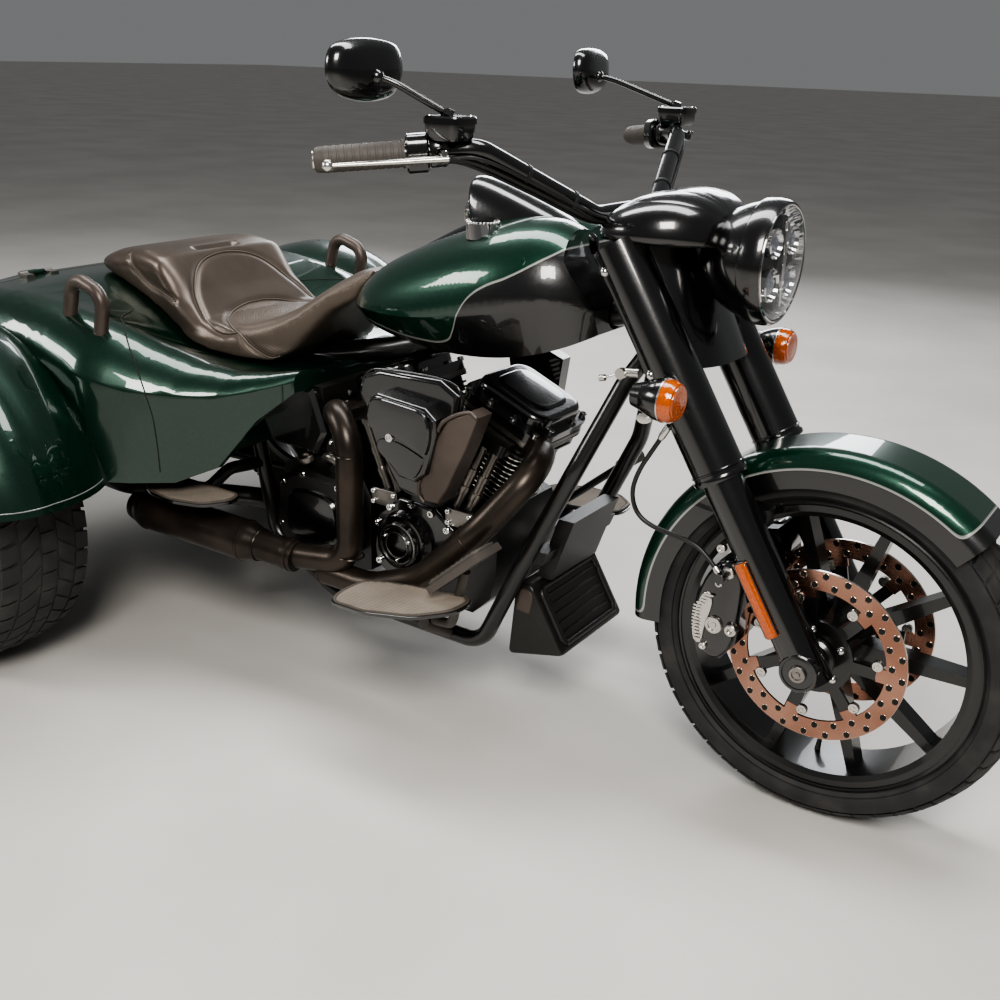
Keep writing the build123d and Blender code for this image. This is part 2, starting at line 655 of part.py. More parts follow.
CLUTCH_X, CLUTCH_Z = -66, 326
PRIMARY_IN, PRIMARY_OUT = 116 + SEAT_GAP, 178
link = plate([
    (CRANK_X, PRIMARY_Z - 92), (CRANK_X, PRIMARY_Z + 92), (CLUTCH_X, CLUTCH_Z + 96), (CLUTCH_X, CLUTCH_Z - 96),
], PRIMARY_IN, PRIMARY_OUT)
primary_cover = fused(
    link,
    rod((CRANK_X, PRIMARY_IN, PRIMARY_Z), (CRANK_X, PRIMARY_OUT, PRIMARY_Z), 92),
    rod((CLUTCH_X, PRIMARY_IN, CLUTCH_Z), (CLUTCH_X, PRIMARY_OUT, CLUTCH_Z), 96),
    rod((CLUTCH_X, PRIMARY_OUT, CLUTCH_Z), (CLUTCH_X, PRIMARY_OUT + 14, CLUTCH_Z), 78, 70),
    rod((CRANK_X, PRIMARY_OUT, PRIMARY_Z), (CRANK_X, PRIMARY_OUT + 10, PRIMARY_Z), 70, 64),
)
save("primary_cover", primary_cover - frame_room)

# Air cleaner between the cylinders, with its intake wedge in front
cleaner_back = [
    (138, 636), (150, 672), (190, 688), (326, 692), (366, 670), (354, 600), (332, 520), (320, 486), (285, 464),
    (234, 468), (196, 520), (172, 588), (150, 618),
]
cleaner_face = [
    (190, 596), (194, 644), (212, 656), (318, 648), (342, 630), (344, 604), (324, 526), (300, 506), (262, 508), (208, 556),
]
cleaner_plate = plate(cleaner_back, -216, -192)
cleaner_plate = fillet(cleaner_plate.faces().sort_by(Axis.Y)[0].edges(), 9)
cleaner_box = plate(cleaner_face, -252, -210)
cleaner_box = fillet(cleaner_box.faces().sort_by(Axis.Y)[0].edges(), 10)
wedge = plate([
    (340, 600), (362, 634), (404, 655), (424, 648), (402, 590), (364, 506), (344, 472), (312, 470), (300, 500),
], -240, -194)
wedge = fillet(wedge.faces().sort_by(Axis.Y)[0].edges(), 6)
THROTTLE_Z = 572
stub = rod((CRANK_X, -194, THROTTLE_Z), (CRANK_X, -30, THROTTLE_Z), 38)
runner = rod((CRANK_X - 80, -40, THROTTLE_Z + 28), (CRANK_X + 80, -40, THROTTLE_Z + 28), 17)
intake = fused(stub, runner) - heads - rockers - cylinders
air_cleaner = fused(cleaner_plate, cleaner_box, intake) - pushrods - frame_room
air_cleaner = max(air_cleaner.solids(), key=lambda s: s.volume)
save("air_cleaner", air_cleaner)
save("intake_wedge", wedge - air_cleaner - frame_room)

# Exhaust: two header pipes, a collector and a muffler on each side
HEADER_R = 26
MUFFLER_R = 42


rear_header = pipe([
    (24, -74, 545), (26, -150, 556), (84, -212, 588), (130, PORT_Y - 10, 548), (132, PORT_Y - 12, 300),
    (-10, PORT_Y - 30, 284),
], HEADER_R, [45, 45, 60, 52])
front_header = pipe([
    (398, -50, 548), (462, -84, 556), (492, -160, 544), (425, PORT_Y, 440), (300, PORT_Y - 10, 310),
    (180, PORT_Y - 10, 262), (60, PORT_Y - 10, 262),
], HEADER_R, [50, 60, 150, 150, 150])
muffler = spun((8, PORT_Y - 30, 283), (-402, PORT_Y - 79, 308), [
    (0, 31), (86, 31), (120, MUFFLER_R), (384, MUFFLER_R), (414, MUFFLER_R - 12), (414, 22), (384, 22),
])
left_muffler = mirror(muffler, about=Plane.XZ)
crossover = pipe([(-20, -236, 262), (-214, -150, 206), (-214, 150, 206), (-84, 262, 286)], 20, [60, 50])
exhaust = fused(rear_header, front_header, muffler, crossover) - left_muffler
exhaust = exhaust - frame_room - heads - cylinders - rockers
save("exhaust", max(exhaust.solids(), key=lambda s: s.volume))
save("left_muffler", left_muffler)

# Fuel tank over the backbone, with its console, instrument and filler cap
TANK_SECTIONS = (  # x, half width, lowest z, widest z, highest z
    (4, 60, 742, 760, 776),
    (90, 134, 730, 772, 842),
    (300, 166, 716, 794, 938),
    (440, 158, 736, 830, 958),
    (548, 84, 780, 824, 890),
)
TANK_NOSE = [(0, 600), (560, 600), (560, 796), (538, 850), (500, 906), (470, 1000), (0, 1000)]


def tank_section(x, half, low, mid, high):
    """A tank cross-section: flat bottom, bulging sides and a crowned top."""
    knee = half * 0.72
    arch = Vector(x, half * 0.86, mid + (high - mid) * 0.62)
    edges = [
        Line((x, -knee, low), (x, knee, low)),
        Line((x, knee, low), (x, half, mid)),
        ThreePointArc((x, half, mid), tuple(arch), (x, 0, high)),
        ThreePointArc((x, 0, high), (x, -arch.Y, arch.Z), (x, -half, mid)),
        Line((x, -half, mid), (x, -knee, low)),
    ]
    return make_face(edges)


tank = loft([tank_section(*row) for row in TANK_SECTIONS])
tunnel = frame_tubes(MOVE_GAP)
tank = (tank & plate(TANK_NOSE, -200, 200)) - tunnel - [rocker for rocker in rockers] - upper_clamp
console_profile = [(16, 790), (16, 812), (120, 872), (250, 938), (300, 962), (300, 925), (240, 905), (110, 840), (50, 796)]
console = plate(console_profile, -34, 34)
gauge_foot = Plane(origin=(286, 0, 944), x_dir=(0, 1, 0), z_dir=(-0.55, 0, 0.835))
gauge = extrude(gauge_foot * Circle(56), amount=58)
cap_spot = Vector(318, -84, 926)
filler_cap = rod(cap_spot, cap_spot + Vector(-2, -4, 26), 30, 26)
fuel_tank = tank - console - gauge - filler_cap
save("fuel_tank", max(fuel_tank.solids(), key=lambda s: s.volume))
save("tank_console", max((fused(console, gauge) - frame_room).solids(), key=lambda s: s.volume))
save("filler_cap", filler_cap)

# Rear body: a centre that carries the seat and holds the trunk, and a fender over each wheel
BODY_SECTIONS = (  # x, deck half width, deck z, ridge y, ridge z, side y, side z, lowest z
    (-34, 120, 634, 176, 641, 202, 622, 600),
    (-90, 130, 628, 194, 632, 250, 604, 544),
    (-150, 142, 625, 220, 628, 302, 590, 448),
    (-215, 156, 626, 248, 640, 356, 592, FENDER_EDGE_Z),
    (-280, 172, 630, 284, 668, 412, 602, FENDER_EDGE_Z),
    (-345, 186, 643, 318, 700, BODY_HALF_W - WELL_STEP, 624, FENDER_EDGE_Z),
    (-460, 198, 696, 350, 728, BODY_HALF_W, 642, FENDER_EDGE_Z),
    (-640, 220, 750, 362, 744, BODY_HALF_W, 660, FENDER_EDGE_Z),
    (-740, 250, 748, 372, 738, BODY_HALF_W, 654, FENDER_EDGE_Z),
    (-1000, 262, 679, 384, 668, BODY_HALF_W, 600, 345),
    (-1300, 262, 594, 384, 584, BODY_HALF_W, 530, 345),
)


BODY_ROWS = eased(BODY_SECTIONS, 58)


def body_section(x, deck, deck_z, ridge, ridge_z, side, side_z, low, inset, drop):
    """A cross-section of the centre: deck, ridge, rounded shoulder and upright side."""
    deck_z, ridge_z, ridge, side = deck_z - inset, ridge_z - inset, ridge - inset, side - inset
    low = low - drop
    bulge_y, bulge_z = ridge + (side - ridge) * 0.72, side_z + (ridge_z - side_z) * 0.66
    right = [
        Line((x, deck, deck_z), (x, ridge, ridge_z)),
        ThreePointArc((x, ridge, ridge_z), (x, bulge_y, bulge_z), (x, side, side_z)),
        Line((x, side, side_z), (x, side, low)),
    ]
    left = [
        Line((x, -side, low), (x, -side, side_z)),
        ThreePointArc((x, -side, side_z), (x, -bulge_y, bulge_z), (x, -ridge, ridge_z)),
        Line((x, -ridge, ridge_z), (x, -deck, deck_z)),
    ]
    across = [Line((x, -deck, deck_z), (x, deck, deck_z)), Line((x, side, low), (x, -side, low))]
    return make_face([across[0], *right, across[1], *left])


def body_centre(inset=0, drop=0):
    """The centre's outer form, drawn in by a distance; drop lowers its underside."""
    return loft([body_section(*row, inset, drop) for row in BODY_ROWS], ruled=True)


def drum(edges, side):
    """A profile of (radius, y) edges turned about the rear axle, on either side."""
    shape = turned(edges, rear_axle)
    return shape if side > 0 else mirror(shape, about=Plane.XZ)


def fender_drum(side):
    """The fender's outer form: it swells from the body to its crown and rounds over to its face."""
    root, crown = (FENDER_R - 90, BODY_HALF_W - 57), (FENDER_R, FENDER_OUT_Y - 105)
    swell, edge = (FENDER_R - 20, BODY_HALF_W + 27), (FENDER_R - 44, FENDER_OUT_Y)
    return drum([
        Line((0, root[1]), root),
        ThreePointArc(root, swell, crown),
        ThreePointArc(crown, (FENDER_R - 12, FENDER_OUT_Y - 37), edge),
        Line(edge, (0, FENDER_OUT_Y)),
        Line((0, FENDER_OUT_Y), (0, root[1])),
    ], side)


def plain_drum(radius, inner_y, outer_y, side):
    """A plain drum about the rear axle."""
    return drum(Polyline((0, inner_y), (radius, inner_y), (radius, outer_y), (0, outer_y), close=True), side)


QUARTER_SECTIONS = (  # x, outer y, lowest z, highest z
    (-930, FENDER_OUT_Y - 2, 400, 636),
    (-1120, FENDER_OUT_Y - 21, 362, 604),
    (BODY_REAR_X, FENDER_OUT_Y - 101, 380, 556),
)


def quarter_section(x, outer, low, high, side):
    """A cross-section of the corner behind a rear wheel, with a rounded upper edge."""
    corner = 60
    knee = corner * (1 - cos(radians(45)))
    inner = side * (BODY_HALF_W - 40)
    outer = side * outer
    return make_face([
        Line((x, inner, low), (x, outer, low)),
        Line((x, outer, low), (x, outer, high - corner)),
        ThreePointArc((x, outer, high - corner), (x, outer - side * knee, high - knee), (x, outer - side * corner, high)),
        Line((x, outer - side * corner, high), (x, inner, high)),
        Line((x, inner, high), (x, inner, low)),
    ])


rear_wall = loft([
    body_section(*BODY_SECTIONS[-1], 0, 0),
    body_section(BODY_REAR_X, 250, 578, 372, 568, BODY_HALF_W, 520, 366, 0, 0),
], ruled=True)
outer_form = fused(body_centre(), rear_wall)
body = outer_form
for side in (-1, 1):
    quarter = loft([quarter_section(*row, side) for row in QUARTER_SECTIONS], ruled=True)
    arch = fender_drum(side) & block(-1200, 0, -800, 800, FENDER_EDGE_Z, 900)
    body = body.fuse(arch, quarter)
for side in (-1, 1):
    body = body - plain_drum(WELL_R, BODY_HALF_W - WELL_STEP, FENDER_OUT_Y - FENDER_SKIN, side)
    body = body - plain_drum(WELL_MOUTH_R, BODY_HALF_W - WELL_STEP, FENDER_OUT_Y + 50, side)

under_seat = body_centre(BODY_WALL, 200) & block(-712, -130, -600, 600, 200, 800)
trunk_side = [
    (-736, 445), (-736, 900), (LID_REAR_X + 10, 900), (LID_REAR_X + 10, TRUNK_FLOOR_Z), (-1000, TRUNK_FLOOR_Z),
    (-800, 445),
]
trunk_half = LID_HALF_W - LEDGE_W
trunk_side = [(min(x, LID_FRONT_X - LEDGE_W), z) for x, z in trunk_side]
trunk_room = plate(trunk_side, -trunk_half, trunk_half)
body = body - under_seat - trunk_room

# Trunk lid: the skin between its edges, resting on a ledge round the opening
lid_box = block(LID_REAR_X, LID_FRONT_X, -LID_HALF_W, LID_HALF_W, 540, 900)
lid_room = block(
    LID_REAR_X - MOVE_GAP, LID_FRONT_X + MOVE_GAP + 1, -LID_HALF_W - MOVE_GAP, LID_HALF_W + MOVE_GAP, 540, 900,
)
trunk_lid = (outer_form & lid_box) - body_centre(LID_T, 0)
body = body - (lid_room - body_centre(LID_T + SEAT_GAP, 0))
HINGE_X = LID_FRONT_X + 2
HINGE_Y = 250
KNUCKLE_R = 6
PIN_R = 3
lid_knuckles, hinges = [], []
for side in (-1, 1):
    middle = Vector(HINGE_X, side * HINGE_Y, HINGE_Z)
    half = Vector(0, 20, 0)
    web = block(HINGE_X - 26, HINGE_X, side * HINGE_Y - 20, side * HINGE_Y + 20, HINGE_Z - 12, HINGE_Z + 2)
    bore = rod(middle - half * 2, middle + half * 2, PIN_R + RUN_CLEAR)
    lid_knuckles.append(fused(rod(middle - half, middle + half, KNUCKLE_R), web) - bore)
    pin = rod(middle - half * 2, middle + half * 2, PIN_R)
    body = body - rod(middle - half * 1.05, middle + half * 1.05, KNUCKLE_R + 1)
    ends = []
    for end in (-1, 1):
        y0, y1 = sorted((side * HINGE_Y + end * 20.5, side * HINGE_Y + end * 40))
        ends.append(rod((HINGE_X, y0, HINGE_Z), (HINGE_X, y1, HINGE_Z), KNUCKLE_R))
        ends.append(block(HINGE_X, HINGE_X + 26, y0, y1, HINGE_Z - 6, HINGE_Z + 2))
    hinges.append(fused(pin, ends) - body)
    trunk_lid = trunk_lid - rod(middle - half * 2.1, middle + half * 2.1, KNUCKLE_R + 1)
trunk_lid = fused(trunk_lid, lid_knuckles)
save("trunk_lid", max(trunk_lid.solids(), key=lambda s: s.volume))
save("lid_hinges", [max(shape.solids(), key=lambda s: s.volume) for shape in hinges])

# Rear lamps in pockets, and a plate bracket in a recess of the rear wall
TAIL_Y = BODY_HALF_W + 45
TAIL_Z = 470
TAIL_R = 52
TAIL_DEPTH = 16
tail_lamps = []
for side in (-1, 1):
    face, back = (BODY_REAR_X + 1, side * TAIL_Y, TAIL_Z), (BODY_REAR_X + TAIL_DEPTH, side * TAIL_Y, TAIL_Z)
    body = body - rod(Vector(*face) - Vector(2, 0, 0), back, TAIL_R)
    tail_lamps.append(rod(face, back, TAIL_R - SEAT_GAP))
save("tail_lamps", tail_lamps)
BRACKET_SPACING_Y, BRACKET_SPACING_Z = 146, 70
BRACKET_HOLE_R = 3.3
BRACKET_Z = 470
bracket = block(BODY_REAR_X + 1, BODY_REAR_X + 5, -92, 92, BRACKET_Z - 50, BRACKET_Z + 50)
for y in (-BRACKET_SPACING_Y / 2, BRACKET_SPACING_Y / 2):
    for z in (BRACKET_Z - BRACKET_SPACING_Z / 2, BRACKET_Z + BRACKET_SPACING_Z / 2):
        bracket = bracket - rod((BODY_REAR_X, y, z), (BODY_REAR_X + 8, y, z), BRACKET_HOLE_R)
recess = block(BODY_REAR_X - 2, BODY_REAR_X + 14, -104, 104, BRACKET_Z - 60, BRACKET_Z + 60)
posts = [rod((BODY_REAR_X + 5, y, BRACKET_Z), (BODY_REAR_X + 14, y, BRACKET_Z), 12) for y in (-40, 40)]
body = body - recess
save("plate_bracket", fused(bracket, posts))

rear_body = max((body - frame_room).solids(), key=lambda s: s.volume)
save("rear_body", rear_body)

# Seat: one solid that dips for the rider and steps up for the passenger
SEAT_SECTIONS = (  # x, half width, lowest z, highest z
    (46, 66, 792, 846),
    (-40, 112, 742, 796),
    (-150, 168, 622, 718),
    (-240, 192, 620, 691),
    (-318, 200, 622, 694),
    (-372, 200, 640, 738),
    (-430, 194, 674, 808),
    (-500, 188, 706, 817),
    (-610, 176, 736, 802),
    (-676, 150, 746, 780),
)


def seat_section(x, half, low, high):
    """A seat cross-section with soft upper corners."""
    corner = min(34, (high - low) * 0.45)
    knee = corner * (1 - cos(radians(45)))
    edges = [
        Line((x, -half + 12, low), (x, half - 12, low)),
        Line((x, half - 12, low), (x, half, high - corner)),
        ThreePointArc((x, half, high - corner), (x, half - knee, high - knee), (x, half - corner, high)),
        Line((x, half - corner, high), (x, corner - half, high)),
        ThreePointArc((x, corner - half, high), (x, knee - half, high - knee), (x, -half, high - corner)),
        Line((x, -half, high - corner), (x, -half + 12, low)),
    ]
    return make_face(edges)


seat = loft([seat_section(*row) for row in eased(SEAT_SECTIONS, 42)], ruled=True)
seat = seat - body_centre(-SEAT_GAP) - tank - console - frame_room
save("seat", max(seat.solids(), key=lambda s: s.volume))

# Grab handles on the body's shoulders beside the passenger
grab = pipe(
    [(-384, -380, 640), (-352, -380, 772), (-440, -380, 800), (-480, -380, 640)], 14, [34, 34],
)
grab = grab - rear_body
grab_right = max(grab.solids(), key=lambda s: s.volume)
save("grab_handles", both(grab_right))

# Rear axle, swingarm, shocks and belt drive
AXLE_TUBE_R = 36
axle_inner = REAR_TRACK / 2 - REAR_TYRE_W / 2 - 20
axle_tube = rod(rear_axle - Vector(0, axle_inner, 0), rear_axle + Vector(0, axle_inner, 0), AXLE_TUBE_R)
stub_half = Vector(0, REAR_TRACK / 2 + 30, 0)
stubs = rod(rear_axle - stub_half, rear_axle + stub_half, REAR_STUB_R)
rear_axle_solid = fused(axle_tube, stubs)
save("rear_axle", rear_axle_solid)
arms = []
for side in (-1, 1):
    arms.append(pipe([(-192, side * 84, 300), (-260, side * 100, 300), (-500, side * 250, 318), (-634, side * 250, 322)], 22, [60, 90]))
arms.append(rod((-192, -106, 300), (-192, 106, 300), 22))
shocks = []
for side in (-1, 1):
    low, high = Vector(-664, side * 230, 352), Vector(-604, side * 230, 664)
    shocks.append(rod(low, high, 18))
    shocks.append(rod(low + (high - low) * 0.25, low + (high - low) * 0.85, 30))
    shocks.append(rod((-634, side * 232, 322), (-660, side * 230, 366), 20))
suspension = fused(arms, shocks) - rear_axle_solid - frame_room - rear_body
save("rear_suspension", max(suspension.solids(), key=lambda s: s.volume))

PULLEY_Y = 150
PULLEY_W = 24
FRONT_PULLEY = (-66, 326, 40)
REAR_PULLEY_R = 72


def belt_loop(grow):
    """The belt's outline round both pulleys, grown by a distance."""
    x0, z0, r0 = FRONT_PULLEY
    front = rod((x0, PULLEY_Y, z0), (x0, PULLEY_Y + PULLEY_W, z0), r0 + grow)
    rear = rod((REAR_AXLE_X, PULLEY_Y, REAR_TYRE_R), (REAR_AXLE_X, PULLEY_Y + PULLEY_W, REAR_TYRE_R), REAR_PULLEY_R + grow)
    outline = [
        (x0, z0 - r0 - grow), (x0, z0 + r0 + grow), (REAR_AXLE_X, REAR_TYRE_R + REAR_PULLEY_R + grow),
        (REAR_AXLE_X, REAR_TYRE_R - REAR_PULLEY_R - grow),
    ]
    return fused(front, rear, plate(outline, PULLEY_Y, PULLEY_Y + PULLEY_W))


rear_pulley = rod(
    (REAR_AXLE_X, PULLEY_Y - 4, REAR_TYRE_R), (REAR_AXLE_X, PULLEY_Y + PULLEY_W + 4, REAR_TYRE_R), REAR_PULLEY_R,
)
belt = fused(belt_loop(6) - belt_loop(0), rear_pulley) - rear_axle_solid - primary_cover - gearbox
belt = belt - suspension - frame_room - exhaust - left_muffler
save("belt_drive", max(belt.solids(), key=lambda s: s.volume))

# Rear wheels
rear_wheels, rear_tyres = [], []
for side in (-1, 1):
    centre = rear_axle + Vector(0, side * REAR_TRACK / 2, 0)
    ring = rim_ring(centre, REAR_RIM_R, REAR_RIM_W, 14)
    dish = Pos(*centre) * Pos(0, side * 20, 0) * Rot(90, 0, 0) * Cylinder(REAR_RIM_R - 12, 16)
    slots = spokes(centre, 8, 84, 150, 26, 44, 60)
    boss = Pos(*centre) * Rot(90, 0, 0) * Cylinder(46, 150)
    bore = rod(centre - Vector(0, 120, 0), centre + Vector(0, 120, 0), REAR_STUB_R + RUN_CLEAR)
    wheel = fused(ring, dish - slots, boss) - bore
    rear_wheels.append(wheel)
    rear_tyres.append(tyre(centre, REAR_TYRE_R, REAR_TYRE_W, REAR_RIM_R, REAR_RIM_W, 8))
for name, i in (("right", 0), ("left", 1)):
    save(f"rear_wheel_{name}", rear_wheels[i])
    save(f"rear_tyre_{name}", rear_tyres[i])

# Floorboards, their brackets and the foot controls
def board(outline, low, tilt_x, tilt):
    """A footboard tilted up at its front about a cross line."""
    flat = slab(outline, 0, 12)
    return Pos(tilt_x, 0, low) * Rot(0, -tilt, 0) * Pos(-tilt_x, 0, 0) * flat


rider_plan = [
    (204, -286), (200, -352), (216, -388), (300, -398), (396, -376), (448, -326), (452, -274), (424, -256), (260, -268),
]
passenger_plan = [
    (-352, -268), (-336, -330), (-296, -362), (-220, -372), (-150, -350), (-118, -300), (-128, -264),
]
rider_board = board(rider_plan, 290, 200, 6)
passenger_board = board(passenger_plan, 376, -350, 0)
save("floorboards", both(rider_board), both(passenger_board))

rider_bracket = fused(
    pipe([(300, -320, 292), (300, -230, 250), (300, -DOWN_Y, RAIL_Z)], 11, [60]),
    pipe([(420, -300, 306), (408, -230, 262), (385, -DOWN_Y, 190)], 11, [60]),
)
rider_bracket = rider_bracket - rider_board - frame_room - exhaust
passenger_bracket = pipe([(-240, -310, 372), (-238, -246, 372), (-224, -204, 404), (-200, -DOWN_Y, 404)], 13, [30, 40])
passenger_bracket = passenger_bracket - passenger_board - frame_room - exhaust - left_muffler
brackets = [max(shape.solids(), key=lambda s: s.volume) for shape in (rider_bracket, passenger_bracket)]
save("floorboard_brackets", both(brackets[0]), both(brackets[1]))

pedal_arm = pipe([(300, -196, 214), (384, -246, 250), (432, -274, 380)], 9, [40])
pedal_pad = Pos(430, -278, 386) * Rot(0, 48, 0) * Box(14, 64, 144)
brake_pedal = fused(pedal_arm, pedal_pad, rod((300, -220, 214), (300, -DOWN_Y, RAIL_Z), 12)) - rider_board
brake_pedal = brake_pedal - frame_room - exhaust - brackets[0]
save("brake_pedal", max(brake_pedal.solids(), key=lambda s: s.volume))
shift_arm = pipe([(180, 236, 372), (318, 216, 322), (470, 236, 452)], 8, [80])
shifter = fused(
    shift_arm, rod((470, 210, 452), (470, 290, 452), 12), rod((180, 214, 372), (180, 286, 372), 12),
    rod((318, 218, 322), (318, 150, 322), 10),
)
shifter = shifter - primary_cover - frame_room
save("gear_shifter", max(shifter.solids(), key=lambda s: s.volume))

# Chin cover and oil cooler between the downtubes, horn, and the boxes under the seat
chin_outline = [(424, 146), (548, 178), (470, 306), (436, 300)]
chin_inner = [(416, 150), (538, 184), (466, 298), (428, 296)]
CHIN_HALF_W = DOWN_Y - 12
chin = plate(chin_outline, -CHIN_HALF_W, CHIN_HALF_W) - plate(chin_inner, 4 - CHIN_HALF_W, CHIN_HALF_W - 4)
save("chin_cover", max((chin - frame_room).solids(), key=lambda s: s.volume))
COOLER_HALF_W = 84
cooler = plate([(462, 310), (494, 310), (536, 436), (504, 436)], -COOLER_HALF_W, COOLER_HALF_W)
cooler = fused(cooler, plate([(468, 356), (498, 356), (508, 382), (478, 382)], -DOWN_Y, DOWN_Y)) - frame_room
save("oil_cooler", max(cooler.solids(), key=lambda s: s.volume))
battery_box = block(-226, -8, -148, 148, 474, 604) - frame_room - gearbox - rear_body - cylinders[1] - heads[1]
battery_box = battery_box - rockers[1] - seat - exhaust
save("battery_box", max(battery_box.solids(), key=lambda s: s.volume))
side_outline = [(-224, 480), (-14, 470), (14, 520), (-20, 604), (-150, 600)]
side_cover = plate(side_outline, -172, -148 - SEAT_GAP)
side_cover = chamfer(side_cover.faces().sort_by(Axis.Y)[0].edges(), 8) - frame_room - rear_body - exhaust
save("side_covers", both(max(side_cover.solids(), key=lambda s: s.volume)))
horn_outline = [(196, 660), (262, 676), (330, 652), (318, 560), (282, 500), (244, 500), (212, 560)]
horn = plate(horn_outline, 196, 238)
horn = chamfer(horn.faces().sort_by(Axis.Y)[-1].edges(), 12)
horn = fused(horn, rod((262, 60, 560), (262, 200, 560), 14)) - heads[0] - heads[1] - cylinders[0] - cylinders[1]
horn = horn - rockers[0] - rockers[1] - frame_room
save("horn_cover", max(horn.solids(), key=lambda s: s.volume))
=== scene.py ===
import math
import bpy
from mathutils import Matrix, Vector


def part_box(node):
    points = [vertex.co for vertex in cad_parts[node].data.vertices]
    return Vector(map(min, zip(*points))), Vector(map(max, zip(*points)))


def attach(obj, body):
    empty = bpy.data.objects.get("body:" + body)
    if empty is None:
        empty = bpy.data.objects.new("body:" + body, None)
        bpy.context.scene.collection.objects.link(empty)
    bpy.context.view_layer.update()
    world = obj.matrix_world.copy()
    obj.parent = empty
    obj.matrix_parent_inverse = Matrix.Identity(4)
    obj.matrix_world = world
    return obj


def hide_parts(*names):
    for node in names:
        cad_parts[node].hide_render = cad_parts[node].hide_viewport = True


bl_info = {
    "name": "Touring Trike Looks",
    "version": (1, 0, 0),
    "blender": (4, 5, 0),
    "location": "View3D > Sidebar > Trike",
    "description": "Finishes and fine shapes of a three-wheeled touring motorcycle",
    "category": "Object",
}

import bmesh
import bpy
import numpy
from mathutils import Matrix, Vector
from mathutils.bvhtree import BVHTree
from mathutils.kdtree import KDTree

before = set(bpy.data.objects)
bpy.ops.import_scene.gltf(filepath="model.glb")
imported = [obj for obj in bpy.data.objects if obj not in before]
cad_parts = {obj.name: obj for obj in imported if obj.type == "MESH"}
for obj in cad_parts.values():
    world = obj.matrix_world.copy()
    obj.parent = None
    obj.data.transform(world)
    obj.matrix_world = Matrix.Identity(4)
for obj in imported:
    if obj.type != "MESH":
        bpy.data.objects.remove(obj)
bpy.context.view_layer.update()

# Places shared by the pieces, in metres, read from the frame where it holds them
FRONT_LOW, FRONT_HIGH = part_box("front_tyre")
REAR_LOW, REAR_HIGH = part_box("rear_tyre_right")
FRONT_AXLE = (FRONT_LOW + FRONT_HIGH) / 2
FRONT_TYRE_R = (FRONT_HIGH.z - FRONT_LOW.z) / 2
REAR_AXLE = Vector(((REAR_LOW.x + REAR_HIGH.x) / 2, 0, (REAR_LOW.z + REAR_HIGH.z) / 2))
REAR_TYRE_R = (REAR_HIGH.z - REAR_LOW.z) / 2
UP = Vector((0, 0, 1))
ACROSS = Vector((0, 1, 0))
RIGHT = -ACROSS
AHEAD = Vector((1, 0, 0))
SIDES = ((-1, "right"), (1, "left"))


# Shader maths
class Wire:
    """A node's output that can be used in arithmetic."""

    def __init__(self, board, socket):
        self.board, self.socket = board, socket

    def sum(self, operation, *others):
        return self.board.math(operation, self, *others)

    def __add__(self, other):
        return self.sum("ADD", other)

    __radd__ = __add__

    def __mul__(self, other):
        return self.sum("MULTIPLY", other)

    def __sub__(self, other):
        return self.sum("SUBTRACT", other)

    def __rsub__(self, other):
        return self.board.math("SUBTRACT", other, self)

    def __truediv__(self, other):
        return self.sum("DIVIDE", other)

    def __lt__(self, other):
        return self.sum("LESS_THAN", other)

    def smooth(self, low, high):
        """0 below low, 1 above high and a soft step between."""
        settings = {"interpolation_type": "SMOOTHSTEP"}
        return self.board.node("MapRange", settings, {"Value": self, "From Min": low, "From Max": high})


